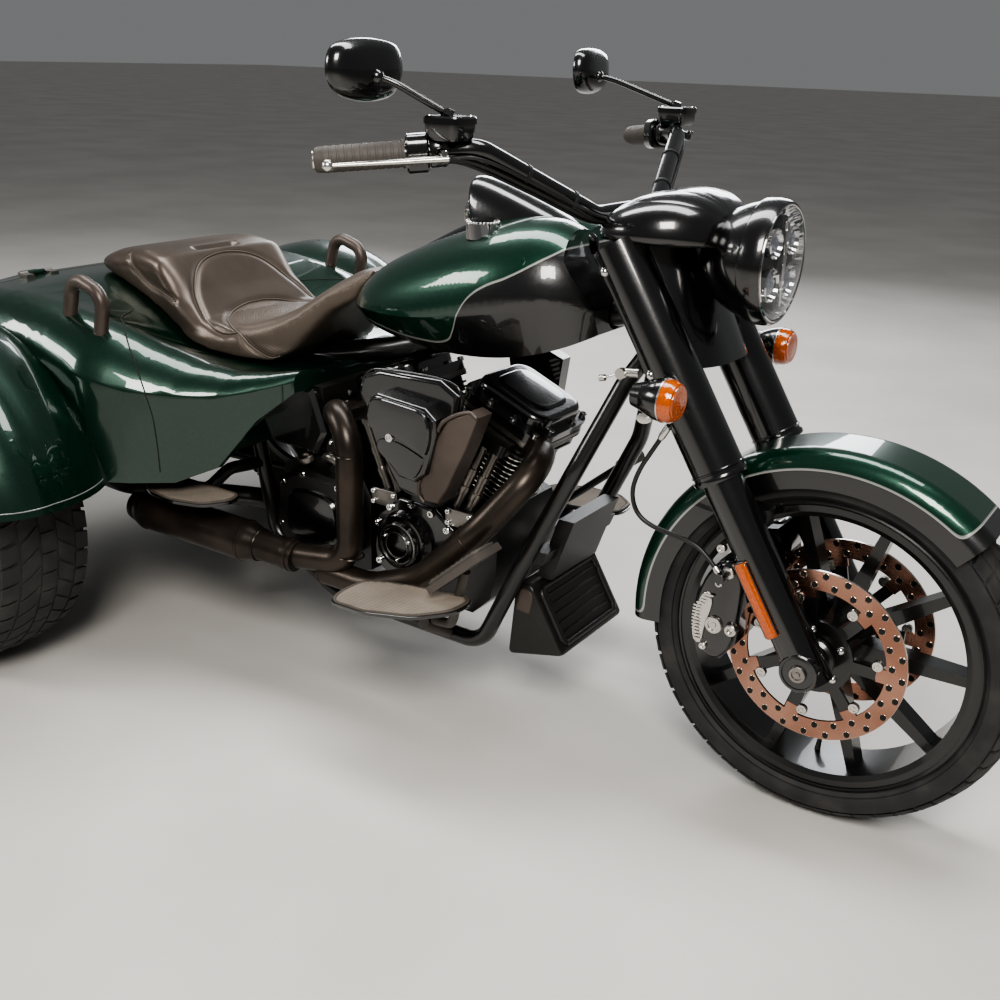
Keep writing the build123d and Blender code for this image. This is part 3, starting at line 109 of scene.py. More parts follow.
class Board:
    """One material's node tree."""

    def __init__(self, name):
        self.material = bpy.data.materials.new(name)
        self.material.use_nodes = True
        self.tree = self.material.node_tree
        self.tree.nodes.clear()

    def node(self, kind, settings=None, values=None, out=0):
        """A shader node, with its settings set first and then its sockets."""
        made = self.tree.nodes.new("ShaderNode" + kind)
        for key, value in (settings or {}).items():
            setattr(made, key, value)
        for key, value in (values or {}).items():
            socket = made.inputs[key]
            if isinstance(value, Wire):
                self.tree.links.new(value.socket, socket)
            else:
                socket.default_value = value
        return Wire(self, made.outputs[out])

    def math(self, operation, *values):
        return self.node("Math", {"operation": operation}, dict(enumerate(values)))

    def place(self, scale=(1, 1, 1)):
        """Coordinates on the piece, stretched."""
        spot = self.node("TexCoord", out=3)  # Object
        return self.node("Mapping", None, {"Vector": spot, "Scale": scale})

    def axes(self, vector):
        """The three parts of a vector."""
        parts = self.node("SeparateXYZ", None, {"Vector": vector})
        outs = parts.socket.node.outputs
        return [Wire(self, outs[i]) for i in range(3)]

    def noise(self, scale, detail=3, vector=None):
        return self.node("TexNoise", None,
            {"Vector": vector or self.place(), "Scale": scale, "Detail": detail})

    def cells(self, scale, out=0, feature="F1"):
        return self.node("TexVoronoi", {"feature": feature}, {"Vector": self.place(), "Scale": scale}, out)

    def mix(self, share, first, second):
        """One colour turning into another."""
        made = self.tree.nodes.new("ShaderNodeMix")
        made.data_type = "RGBA"
        for index, value in ((0, share), (6, first), (7, second)):
            if isinstance(value, Wire):
                self.tree.links.new(value.socket, made.inputs[index])
            else:
                made.inputs[index].default_value = (*value, 1)
        return Wire(self, made.outputs[2])

    def curve(self, value, rows):
        """A value through a smooth curve of (in, out) rows between 0 and 1."""
        made = self.tree.nodes.new("ShaderNodeFloatCurve")
        points = made.mapping.curves[0].points
        while len(points) < len(rows):
            points.new(0.5, 0.5)
        for point, place in zip(points, rows):
            point.location = place
            point.handle_type = "AUTO_CLAMPED"
        made.mapping.update()
        self.tree.links.new(value.socket, made.inputs["Value"])
        return Wire(self, made.outputs[0])

    def attribute(self, name):
        return self.node("Attribute", {"attribute_name": name}, out=2)

    def bump(self, height, depth, strength=1.0):
        return self.node("Bump", None, {"Height": height, "Distance": depth, "Strength": strength})

    def finish(self, **sockets):
        """The surface shader, with sockets named in words joined by underscores."""
        names = {key.replace("_", " ").title().replace("Ior", "IOR"): value for key, value in sockets.items()}
        shader = self.node("BsdfPrincipled", None, names)
        end = self.tree.nodes.new("ShaderNodeOutputMaterial")
        self.tree.links.new(shader.socket, end.inputs["Surface"])
        return self.material


def paint(name, base, fleck, metallic=0.0, rough=0.28, coat=1.0):
    """Gloss paint under clear coat: fine flakes, a little dust in the gloss and a faint orange peel."""
    board = Board(name)
    flake = board.cells(2600, out=1)
    cloud = board.noise(3, 2)
    tone = board.mix(flake.smooth(0.35, 1.0) * 0.55, base, fleck)
    dust = board.noise(38, 4)
    return board.finish(
        base_color=board.mix(cloud.smooth(0.3, 0.7) * 0.3, tone, base),
        metallic=metallic,
        roughness=rough + dust * 0.06,
        coat_weight=coat,
        coat_roughness=0.035,
        normal=board.bump(board.noise(170, 1), 0.00008),
    )


def satin(name, base, light, rough=0.42, metallic=0.0, grain=900, depth=0.00012):
    """A satin moulded or powder-coated surface with fine grain and slightly uneven gloss."""
    board = Board(name)
    cloud = board.noise(9, 4)
    fine = board.noise(grain, 2)
    return board.finish(
        base_color=board.mix(cloud.smooth(0.3, 0.75), base, light),
        metallic=metallic,
        roughness=rough + (cloud - 0.5) * 0.16,
        normal=board.bump(fine, depth),
    )


def wrinkle(name, base, light):
    """Wrinkle-finish black on engine castings."""
    board = Board(name)
    folds = board.cells(620, feature="SMOOTH_F1")
    cloud = board.noise(14, 4)
    return board.finish(
        base_color=board.mix(cloud.smooth(0.35, 0.8), base, light),
        metallic=0.1,
        roughness=0.36 + (cloud - 0.5) * 0.2,
        coat_weight=0.3,
        coat_roughness=0.2,
        normal=board.bump(folds, 0.00035, 0.7),
    )


def metal(name, base, light, rough=0.2, depth=0.00003):
    """Bare, brushed or plated metal with faint streaks."""
    board = Board(name)
    streak = board.noise(8, 5, vector=board.place((40, 40, 900)))
    cloud = board.noise(11, 3)
    return board.finish(
        base_color=board.mix(cloud.smooth(0.3, 0.7), base, light),
        metallic=1.0,
        roughness=rough + (streak - 0.5) * 0.18,
        normal=board.bump(streak, depth),
    )


def lens(name, tint, rough=0.08):
    """Tinted clear plastic with moulded prisms on its inner side."""
    board = Board(name)
    prism = board.cells(210)
    return board.finish(
        base_color=board.mix(prism.smooth(0.0, 0.7) * 0.5, tint, [part * 0.55 for part in tint]),
        roughness=rough + prism * 0.05,
        coat_weight=1.0,
        coat_roughness=0.03,
        transmission_weight=0.5,
        ior=1.45,
        normal=board.bump(prism, 0.0006),
    )


def clear_glass(name):
    """A clear lamp cover with a trace of dust."""
    board = Board(name)
    dust = board.noise(30, 5)
    return board.finish(
        base_color=(0.96, 0.97, 0.99, 1),
        roughness=0.01 + dust.smooth(0.55, 0.9) * 0.05,
        transmission_weight=1.0,
        ior=1.25,
    )


def tyre_rubber(name):
    """Matt black rubber with a dusting of grey and moulding lines."""
    board = Board(name)
    dust = board.noise(16, 6)
    fine = board.noise(900, 2)
    return board.finish(
        base_color=board.mix(dust.smooth(0.4, 0.8), (0.012, 0.012, 0.013), (0.04, 0.037, 0.034)),
        roughness=0.72 + (dust - 0.5) * 0.25,
        normal=board.bump(fine, 0.00025),
    )


def about_axle(board):
    """A place's forward, across and upward distances from the front axle, and its radius about it."""
    x, y, z = board.axes(board.place())
    fore, up = x - FRONT_AXLE.x, z - FRONT_AXLE.z
    return fore, y, up, board.math("SQRT", fore * fore + up * up)


def brushed_disc(name):
    """Warm-tinted brake disc steel, ground in rings about the front axle."""
    board = Board(name)
    fore, y, up, radius = about_axle(board)
    ring = board.node("CombineXYZ", None, {"X": radius * 900, "Y": y * 4})
    rings = board.noise(1.0, 3, vector=ring)
    heat = board.noise(9, 3)
    return board.finish(
        base_color=board.mix(heat.smooth(0.3, 0.7), (0.30, 0.15, 0.105), (0.42, 0.235, 0.175)),
        metallic=1.0,
        roughness=0.27 + (rings - 0.5) * 0.25,
        normal=board.bump(rings, 0.00004),
    )


GREEN, GREEN_FLECK = (0.0005, 0.0125, 0.0068), (0.004, 0.098, 0.052)
BLACK, BLACK_FLECK = (0.0015, 0.0015, 0.0017), (0.006, 0.006, 0.007)
SILVER = (0.3, 0.31, 0.29)


def striped_paint(name, field, width=0.0016):
    """Green over a border, black under it and a pinstripe on it. field gives the height over the border."""
    board = Board(name)
    over = field(board)
    lower = 1 - over.smooth(-0.0004, 0.0004)
    stripe = 1 - board.math("ABSOLUTE", over).smooth(width * 0.8, width * 1.2)
    flake = board.cells(2600, out=1).smooth(0.3, 1.0)
    cloud = board.noise(3, 2)
    dust = board.noise(38, 4)
    green = board.mix(flake * 0.6 + cloud * 0.15, GREEN, GREEN_FLECK)
    black = board.mix(flake * 0.25, BLACK, BLACK_FLECK)
    return board.finish(
        base_color=board.mix(stripe, board.mix(lower, green, black), SILVER),
        metallic=(1 - lower) * 0.55,
        roughness=0.27 + dust * 0.06,
        coat_weight=1.0,
        coat_roughness=0.03,
        normal=board.bump(board.noise(170, 1), 0.00006),
    )


TANK_BORDER = (  # place along the tank, height of its pinstripe
    (0.0, 0.748), (0.10, 0.741), (0.20, 0.733), (0.25, 0.734), (0.283, 0.744), (0.300, 0.762),
    (0.322, 0.797), (0.350, 0.836), (0.380, 0.857), (0.417, 0.874), (0.460, 0.900), (0.503, 0.930),
    (0.560, 0.975),
)
TANK_LONG, BORDER_LOW, BORDER_TALL = 0.6, 0.7, 0.3  # what the border's curve spans
BORDER_SLOPE = 0.75  # brings the height over the border to about the distance from it
FENDER_EDGE_R, FENDER_LINE_R = 0.316, 0.33  # the fender's pinstripe along the skirt, and at its tips
FENDER_TIPS = (53, 184)  # angles of the pinstripe at the front and rear tips


def tank_field(board):
    """Height over the tank's pinstripe."""
    x, y, z = board.axes(board.place())
    rows = [(along / TANK_LONG, (height - BORDER_LOW) / BORDER_TALL) for along, height in TANK_BORDER]
    border = board.curve(x / TANK_LONG, rows) * BORDER_TALL + BORDER_LOW
    return (z - border) * BORDER_SLOPE


def fender_field(board):
    """Distance inside the front fender's pinstripe, which runs along its skirt and round its tips."""
    fore, y, up, radius = about_axle(board)
    angle = board.math("ARCTAN2", up, fore)
    turned_back = angle + (angle < -1.0) * (2 * math.pi)
    side = radius - FENDER_EDGE_R
    front = (turned_back - math.radians(FENDER_TIPS[0])) * FENDER_LINE_R
    rear = (math.radians(FENDER_TIPS[1]) - turned_back) * FENDER_LINE_R
    return board.math("SMOOTH_MIN", board.math("SMOOTH_MIN", side, front, 0.03), rear, 0.03)


def woven_leather(name):
    """Satin seat cover: smooth grained panels, and a small basket weave where the cover is marked, whose
    raised threads carry a painted highlight.
    """
    board = Board(name)
    grain = board.cells(560, feature="SMOOTH_F1")
    fine = board.noise(1400, 3)
    wear = board.noise(6, 5)
    x, y, z = board.axes(board.place())
    threads = 1350  # radians of the weave to a metre
    weave = board.math("SINE", (x + z) * threads) * board.math("SINE", y * threads)
    mark = board.attribute("woven").smooth(0.4, 0.6)
    smooth = grain * 0.35 + fine * 0.12
    height = smooth * (1 - mark) + (weave * 0.5 + 0.5) * mark
    shade = board.mix(wear.smooth(0.3, 0.75), (0.072, 0.056, 0.045), (0.115, 0.092, 0.074))
    # The weave's raised threads are painted lighter: a painted highlight on the tops of the weave.
    shade = board.mix(mark * weave.smooth(-0.6, 0.4) * 0.45, shade, (0.17, 0.14, 0.115))
    return board.finish(
        base_color=shade,
        metallic=0.5,
        roughness=0.33 + grain * 0.08 - wear * 0.08 + mark * 0.07,
        normal=board.bump(height, 0.00045, 0.75),
    )


FINISHES = {}


def make_finishes():
    """Every finish of the machine, by name, with its darker and lighter colour and how rough it is."""
    soft_grain = (700, 0.0003)
    FINISHES.update({
        "green": paint("deep_green_paint", GREEN, GREEN_FLECK, 0.55, 0.27),
        "tank": striped_paint("tank_two_tone", tank_field),
        "fender": striped_paint("fender_two_tone", fender_field, 0.0018),
        "black": paint("gloss_black_paint", (0.0014, 0.0014, 0.0016), (0.005, 0.005, 0.006), 0.0, 0.2),
        "frame": paint("frame_black", (0.002, 0.002, 0.002), (0.006, 0.006, 0.006), 0.0, 0.3, 0.4),
        "wheel": paint("wheel_black", (0.002, 0.002, 0.002), (0.006, 0.006, 0.006), 0.0, 0.28, 0.5),
        "wrinkle": wrinkle("engine_wrinkle_black", (0.0025, 0.0024, 0.0023), (0.008, 0.0075, 0.007)),
        "plastic": satin("black_plastic", (0.006, 0.0055, 0.005), (0.013, 0.012, 0.011), 0.42),
        "bronze": satin("bronze_plastic", (0.06, 0.046, 0.038), (0.1, 0.08, 0.068), 0.38, 0.4),
        "exhaust": satin("exhaust_black", (0.026, 0.021, 0.017), (0.06, 0.046, 0.037), 0.33, 0.7, 500),
        "tube": metal("satin_tube", (0.16, 0.15, 0.14), (0.24, 0.22, 0.2), 0.34),
        "chrome": metal("chrome_plate", (0.62, 0.61, 0.6), (0.7, 0.69, 0.68), 0.07, 0.000005),
        "cut": metal("cut_aluminium", (0.55, 0.53, 0.5), (0.66, 0.64, 0.6), 0.26),
        "steel": metal("axle_steel", (0.2, 0.19, 0.18), (0.32, 0.3, 0.28), 0.35),
        "disc": brushed_disc("disc_steel"),
        "disc_edge": metal("drilled_edge", (0.5, 0.36, 0.28), (0.6, 0.45, 0.36), 0.25),
        # Near black: painted shade in the brake discs' drill holes and at the floor of the seat's slot, and
        # the colour of the body's dark panel joint.
        "void": satin("painted_shade_and_joint_black", (0.002, 0.0015, 0.001), (0.004, 0.003, 0.002), 0.8),
        "leather": woven_leather("seat_leather"),
        "welt": satin("seat_welt", (0.075, 0.058, 0.046), (0.11, 0.09, 0.072), 0.42),
        "thread": satin("seat_thread", (0.11, 0.09, 0.07), (0.15, 0.12, 0.1), 0.6, 0, 2400, 0.0001),
        "mirror": metal("mirror_glass", (0.7, 0.71, 0.72), (0.74, 0.75, 0.76), 0.03, 0.0),
        "eye": lens("projector_eye", (0.5, 0.55, 0.62), 0.02),
        "rim_rubber": satin("board_rim_rubber", (0.055, 0.045, 0.037), (0.09, 0.076, 0.062), 0.6, 0,
            *soft_grain),
        "tyre": tyre_rubber("tyre_rubber"),
        "rubber": satin("grip_rubber", (0.05, 0.043, 0.037), (0.085, 0.074, 0.064), 0.6, 0, *soft_grain),
        "board": satin("board_rubber", (0.16, 0.135, 0.11), (0.235, 0.2, 0.165), 0.66, 0, *soft_grain),
        "hose": satin("hose_rubber", (0.008, 0.008, 0.008), (0.02, 0.02, 0.02), 0.4),
        "amber": lens("amber_lens", (0.9, 0.17, 0.004)),
        "red": lens("red_lens", (0.42, 0.006, 0.006)),
        "glass": clear_glass("lamp_glass"),
        "stripe": satin("pinstripe_silver", (0.2, 0.21, 0.2), (0.3, 0.31, 0.3), 0.3, 0.5),
    })


NODE_FINISH = {
    "green": ("rear_body", "trunk_lid"),
    "tank": ("fuel_tank",),
    "fender": ("front_fender",),
    "black": (
        "fork_covers", "fork_sliders", "fork_cowl", "headlamp_bucket", "side_covers", "tank_console",
        "horn_cover", "front_signals", "mirrors", "handlebar", "hand_controls", "primary_cover",
        "front_calipers", "rocker_covers", "cam_cover", "air_cleaner",
    ),
    "frame": (
        "frame", "triple_clamps", "rear_suspension", "floorboard_brackets", "gear_shifter", "plate_bracket",
    ),
    "wheel": ("front_wheel", "rear_wheel_left", "rear_wheel_right"),
    "wrinkle": ("crankcase", "cylinders", "cylinder_heads", "gearbox"),
    "plastic": ("battery_box", "chin_cover", "oil_cooler", "belt_drive"),
    "bronze": ("intake_wedge", "grab_handles"),
    "exhaust": ("exhaust", "left_muffler"),
    "tube": ("pushrod_tubes",),
    "chrome": ("filler_cap",),
    "steel": ("front_axle", "rear_axle", "lid_hinges"),
    "disc": ("front_discs",),
    "leather": ("seat",),
    "tyre": ("front_tyre", "rear_tyre_left", "rear_tyre_right"),
    "rubber": ("grips", "brake_pedal"),
    "board": ("floorboards",),
    "hose": ("brake_hose",),
    "amber": ("amber_lenses",),
    "red": ("tail_lamps",),
    "glass": ("headlamp_lens",),
}


class TRIKE_OT_finishes(bpy.types.Operator):
    """Give each part of the frame its finish"""

    bl_idname = "trike.finishes"
    bl_label = "Finishes"

    def execute(self, context):
        make_finishes()
        make_heads()
        for finish, nodes in NODE_FINISH.items():
            for node in nodes:
                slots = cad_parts[node].data.materials
                slots.clear()
                slots.append(FINISHES[finish])
        return {"FINISHED"}


# Mesh making
def own(name, mesh, finish, body):
    """An object for a finished mesh, which rides on a CAD body."""
    piece = bpy.data.objects.new(name, mesh)
    bpy.context.scene.collection.objects.link(piece)
    mesh.materials.clear()
    mesh.materials.append(FINISHES[finish])
    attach(piece, body)
    return piece


def settled(shape, modifiers=()):
    """The plain mesh of a curve or mesh object with its modifiers applied. The object goes."""
    for kind, settings in modifiers:
        modifier = shape.modifiers.new(kind.lower(), kind)
        for key, value in settings.items():
            setattr(modifier, key, value)
    mesh = bpy.data.meshes.new_from_object(shape.evaluated_get(bpy.context.evaluated_depsgraph_get()))
    bpy.data.objects.remove(shape)
    return mesh


def skin_mesh(name, verts, faces, weld=None):
    """A mesh with its faces turned outwards, and its double points joined where asked."""
    mesh = bpy.data.meshes.new(name)
    mesh.from_pydata([tuple(v) for v in verts], [], faces)
    work = bmesh.new()
    work.from_mesh(mesh)
    if weld:
        bmesh.ops.remove_doubles(work, verts=work.verts, dist=weld)
    bmesh.ops.recalc_face_normals(work, faces=work.faces)
    work.to_mesh(mesh)
    work.free()
    return mesh


def shaped(name, verts, faces, finish, body, edge=0.0, rounds=0, sharp=35):
    """A closed piece from its points and faces, with eased edges or a subdivided surface."""
    mesh = skin_mesh(name, verts, faces, weld=1e-6)
    steps = []
    if edge:
        bevel = {"width": edge, "segments": 3, "limit_method": "ANGLE", "harden_normals": False}
        steps.append(("BEVEL", bevel))
    if rounds:
        steps.append(("SUBSURF", {"levels": rounds, "render_levels": rounds}))
    if steps:
        holder = bpy.data.objects.new(name, mesh)
        bpy.context.scene.collection.objects.link(holder)
        mesh = settled(holder, steps)
    mesh.shade_smooth()
    mesh.set_sharp_from_angle(angle=math.radians(sharp))
    return own(name, mesh, finish, body)


def circle(count, radius=1.0):
    """Even places on a circle in two axes."""
    angles = [2 * math.pi * k / count for k in range(count)]
    return [(radius * math.cos(angle), radius * math.sin(angle)) for angle in angles]


def joined_rings(rings, caps=True, round_trip=False):
    """Points and faces of a skin over rings of equal count, which close on themselves."""
    count = len(rings[0])
    verts = [point for ring in rings for point in ring]
    faces = []
    spans = len(rings) if round_trip else len(rings) - 1
    for row in range(spans):
        base, after = row * count, (row + 1) % len(rings) * count
        for step in range(count):
            side = (step + 1) % count
            faces.append((base + step, base + side, after + side, after + step))
    if caps and not round_trip:
        faces.append(tuple(range(count)))
        faces.append(tuple(range((len(rings) - 1) * count, len(rings) * count)))
    return verts, faces


def across_axes(direction):
    """Two directions at right angles to one."""
    direction = Vector(direction).normalized()
    first = direction.cross(UP)
    if first.length < 0.05:
        first = direction.cross(AHEAD)
    first.normalize()
    return first, direction.cross(first)


def turned(name, profile, centre, direction, finish, body, steps=48, sharp=35):
    """A turned piece: (along, radius) rows about an axis, closed where the radius is nothing."""
    direction, centre = Vector(direction).normalized(), Vector(centre)
    first, second = across_axes(direction)
    spokes = [first * u + second * v for u, v in circle(steps)]
    rings = [[centre + direction * along + spoke * max(radius, 1e-5) for spoke in spokes] for along,
        radius in profile]
    closed = profile[0] == profile[-1]
    verts, faces = joined_rings(rings[:-1] if closed else rings, round_trip=closed)
    return shaped(name, verts, faces, finish, body, sharp=sharp)


def ball(radius):
    """The section of a ball, to be turned."""
    angles = [math.pi - math.pi * k / 10 for k in range(11)]
    return [(radius * math.cos(angle), radius * math.sin(angle)) for angle in angles]


def smooth_path(points, count, closed=False):
    """Evenly spaced places on a smooth line through points."""
    spots = [Vector(p) for p in points]
    total = len(spots)
    line = []
    spans = total if closed else total - 1
    for span in range(spans):
        picks = (span - 1, span, span + 1, span + 2)
        pick = [k % total if closed else min(max(k, 0), total - 1) for k in picks]
        before, here, there, beyond = (spots[i] for i in pick)
        for step in range(12):
            t = step / 12
            line.append(0.5 * (
                2 * here + (there - before) * t + (2 * before - 5 * here + 4 * there - beyond) * t * t
                + (3 * here - before - 3 * there + beyond) * t * t * t
            ))
    line.append(spots[0] if closed else spots[-1])
    lengths = [0.0]
    for here, there in zip(line, line[1:]):
        lengths.append(lengths[-1] + (there - here).length)
    even, at = [], 0
    for step in range(count + (0 if closed else 1)):
        goal = lengths[-1] * step / count
        while at < len(lengths) - 2 and lengths[at + 1] < goal:
            at += 1
        span = max(lengths[at + 1] - lengths[at], 1e-9)
        even.append(line[at].lerp(line[at + 1], (goal - lengths[at]) / span))
    return even


def tube_skin(line, radius, sides=12, closed=False, flat=1.0):
    """Points and faces of a round tube, or a flattened one, on a line of places."""
    rings, upright = [], None
    for index, spot in enumerate(line):
        before = line[index - 1] if index or closed else spot
        after = line[(index + 1) % len(line)] if index < len(line) - 1 or closed else spot
        ahead = (after - before).normalized()
        if upright is None:
            upright = across_axes(ahead)[0]
        upright = (upright - ahead * upright.dot(ahead)).normalized()
        other = ahead.cross(upright)
        size = radius(index / max(len(line) - 1, 1)) if callable(radius) else radius
        rings.append([spot + upright * size * u + other * size * flat * v for u, v in circle(sides)])
    return joined_rings(rings, round_trip=closed)


def tube(name, points, radius, finish, body, count=48, sides=12, closed=False, flat=1.0):
    """A bent bar, pipe or cable on a smooth line through points."""
    verts, faces = tube_skin(smooth_path(points, count, closed), radius, sides, closed, flat)
    return shaped(name, verts, faces, finish, body, sharp=50)


def several(name, skins, finish, body, **how):
    """One piece of several closed skins."""
    verts, faces = [], []
    for more_verts, more_faces in skins:
        start = len(verts)
        verts.extend(more_verts)
        faces.extend(tuple(index + start for index in face) for face in more_faces)
    return shaped(name, verts, faces, finish, body, **how)


def stacked(outline, rows, origin, first, second, along, about=(0, 0), round_trip=False):
    """Points and faces over an outline on two axes, scaled about a place on it by (scale, level) rows."""
    rings = []
    for scale, level in rows:
        places = [(about[0] + (u - about[0]) * scale, about[1] + (v - about[1]) * scale) for u, v in outline]
        rings.append([origin + first * u + second * v + along * level for u, v in places])
    return joined_rings(rings, round_trip=round_trip)


def slab_skin(outline, along, thick, first, second, centre):
    """Points and faces of a plate: an outline on two axes, given a thickness along a third."""
    return stacked(outline, ((1, 0), (1, thick)), centre, first, second, along)


def middle_of(outline):
    return sum(u for u, v in outline) / len(outline), sum(v for u, v in outline) / len(outline)


def round_rect(width, height, corner, steps=6):
    """The outline of a rectangle with round corners, about its middle."""
    outline = []
    for quarter, (sx, sy) in enumerate(((1, 1), (-1, 1), (-1, -1), (1, -1))):
        cx, cy = sx * (width / 2 - corner), sy * (height / 2 - corner)
        for step in range(steps + 1):
            angle = math.pi / 2 * (quarter + step / steps)
            outline.append((cx + corner * math.cos(angle), cy + corner * math.sin(angle)))
    return outline


def smooth_outline(points, count):
    """A closed outline in two axes, smooth through its points."""
    return [(p.x, p.y) for p in smooth_path([(u, v, 0) for u, v in points], count, closed=True)]


def eased_outline(corners, ease, steps=6):
    """A closed outline with straight sides and round corners."""
    outline = []
    for index, corner in enumerate(corners):
        here = Vector(corner)
        arms = []
        for other in (corners[index - 1], corners[(index + 1) % len(corners)]):
            away = Vector(other) - here
            arms.append(here + away.normalized() * min(ease, away.length * 0.45))
        for step in range(steps + 1):
            t = step / steps
            spot = arms[0] * (1 - t) ** 2 + here * 2 * t * (1 - t) + arms[1] * t ** 2
            outline.append((spot.x, spot.y))
    return outline


# Geometry Nodes trees
class Tree:
    """A node tree for repeats, built with short calls."""

    def __init__(self, name, inputs):
        self.group = bpy.data.node_groups.new(name, "GeometryNodeTree")
        face = self.group.interface
        face.new_socket("Geometry", in_out="INPUT", socket_type="NodeSocketGeometry")
        self.sockets = {}
        for label, kind, default in inputs:
            made = face.new_socket(label, in_out="INPUT", socket_type="NodeSocket" + kind)
            if default is not None:
                made.default_value = default
            self.sockets[label] = made.identifier
        face.new_socket("Geometry", in_out="OUTPUT", socket_type="NodeSocketGeometry")
        self.given = self.group.nodes.new("NodeGroupInput")
        self.result = self.group.nodes.new("NodeGroupOutput")

    def take(self, label):
        return self.given.outputs[label]

    def add(self, kind, settings=None, values=None, out=0):
        made = self.group.nodes.new(kind)
        for key, value in (settings or {}).items():
            setattr(made, key, value)
        for key, value in (values or {}).items():
            socket = made.inputs[key]
            if isinstance(value, bpy.types.NodeSocket):
                self.group.links.new(value, socket)
            else:
                socket.default_value = value
        return made.outputs[out]

    def close(self, instances):
        """Real meshes with their finish, as the tree's result."""
        real = self.add("GeometryNodeRealizeInstances", None, {"Geometry": instances})
        finished = self.add("GeometryNodeSetMaterial", None,
            {"Geometry": real, "Material": self.take("Finish")})
        self.group.links.new(finished, self.result.inputs[0])

    def run(self, name, finish, body, sharp=40, mesh=None, **values):
        """The tree's result on a mesh as a plain piece."""
        holder = bpy.data.objects.new(name, mesh or bpy.data.meshes.new(name))
        bpy.context.scene.collection.objects.link(holder)
        modifier = holder.modifiers.new("repeat", "NODES")
        modifier.node_group = self.group
        modifier[self.sockets["Finish"]] = FINISHES[finish]
        for label, value in values.items():
            modifier[self.sockets[label.replace("_", " ").title()]] = value
        made = settled(holder)
        made.shade_smooth()
        made.set_sharp_from_angle(angle=math.radians(sharp))
        return own(name, made, finish, body)


TREES = {}
SPOT_FACTS = ("facing", "along", "size")


def spots_tree():
    """One template on each spot, turned to its facing and scaled by its size."""
    tree = Tree("on_spots",
        (("Template", "Object", None), ("Scale", "Float", 1.0), ("Finish", "Material", None)))
    info = tree.add("GeometryNodeObjectInfo", None, {"Object": tree.take("Template")}, "Geometry")
    facing, along, size = [
        tree.add("GeometryNodeInputNamedAttribute", {"data_type": "FLOAT_VECTOR"}, {"Name": fact})
        for fact in SPOT_FACTS
    ]
    align = "FunctionNodeAlignRotationToVector"
    turn = tree.add(align, {"axis": "Z"}, {"Vector": facing})
    turn = tree.add(align, {"axis": "X", "pivot_axis": "Z"}, {"Rotation": turn, "Vector": along})
    scale = tree.add("ShaderNodeVectorMath", {"operation": "SCALE"}, {0: size, "Scale": tree.take("Scale")})
    tree.close(tree.add("GeometryNodeInstanceOnPoints", None, {
        "Points": tree.take("Geometry"), "Instance": info, "Rotation": turn, "Scale": scale,
    }))
    return tree


def ring_tree():
    """A template repeated about an axis along Y through a centre."""
    tree = Tree("round_an_axis", (
        ("Template", "Object", None), ("Count", "Int", 12), ("Start", "Float", 0.0),
        ("Centre", "Vector", (0, 0, 0)), ("Finish", "Material", None),
    ))
    info = tree.add("GeometryNodeObjectInfo", None, {"Object": tree.take("Template")}, "Geometry")
    count, start = tree.take("Count"), tree.take("Start")
    points = tree.add("GeometryNodePoints", None, {"Count": count, "Position": tree.take("Centre")})
    share = tree.add("ShaderNodeMath", {"operation": "DIVIDE"},
        {0: tree.add("GeometryNodeInputIndex"), 1: count})
    angle = tree.add("ShaderNodeMath", {"operation": "MULTIPLY_ADD"}, {0: share, 1: 2 * math.pi, 2: start})
    turn = tree.add("FunctionNodeAxisAngleToRotation", None, {"Axis": (0, 1, 0), "Angle": angle})
    tree.close(tree.add("GeometryNodeInstanceOnPoints", None, {
        "Points": points, "Instance": info, "Rotation": turn,
    }))
    return tree


def line_tree():
    """A template at even steps along a line of edges, turned along it."""
    tree = Tree("along_a_line", (
        ("Template", "Object", None), ("Spacing", "Float", 0.006), ("Finish", "Material", None),
    ))
    info = tree.add("GeometryNodeObjectInfo", None, {"Object": tree.take("Template")}, "Geometry")
    curve = tree.add("GeometryNodeMeshToCurve", None, {"Mesh": tree.take("Geometry")})
    count = tree.group.nodes.new("GeometryNodeCurveToPoints")
    count.mode = "LENGTH"
    tree.group.links.new(curve, count.inputs["Curve"])
    tree.group.links.new(tree.take("Spacing"), count.inputs["Length"])
    turn = tree.add("FunctionNodeAlignRotationToVector", {"axis": "X"}, {"Vector": count.outputs["Tangent"]})
    tree.close(tree.add("GeometryNodeInstanceOnPoints", None, {
        "Points": count.outputs["Points"], "Instance": info, "Rotation": turn,
    }))
    return tree


def template(name, verts, faces):
    """A small shape to repeat. It isn't linked to the scene."""
    return bpy.data.objects.new(name, skin_mesh(name, verts, faces))


def turned_template(name, profile, sides):
    """A small turned shape along Z for a template."""
    rings = []
    for z, radius in profile:
        rings.append([Vector((u, v, z)) for u, v in circle(sides, max(radius, 1e-4))])
    return template(name, *joined_rings(rings))


HEADS = {}


def make_heads():
    """Fastener heads of unit radius, for the spots."""
    heads = {  # sides, (height, radius) rows in units of the head's radius
        "dome": (12, ((-0.4, 1), (0.15, 1), (0.55, 0.82), (0.8, 0.45), (0.88, 0))),
        "socket": (12, ((-0.4, 1), (0.85, 1), (1.0, 0.86), (1.0, 0.52), (0.45, 0.5), (0.4, 0))),
        "hex": (6, ((-0.4, 1), (0.7, 1), (0.82, 0.86), (0.84, 0))),
        "plug": (16, (
            (-0.4, 1), (0.28, 1), (0.4, 0.9), (0.4, 0.62), (0.24, 0.58), (0.24, 0.34), (0.36, 0.3), (0.36, 0),
        )),
    }
    HEADS.update({name: turned_template(name + "_head", rows, sides) for name,
        (sides, rows) in heads.items()})
    TREES.update({"spots": spots_tree(), "ring": ring_tree(), "line": line_tree()})


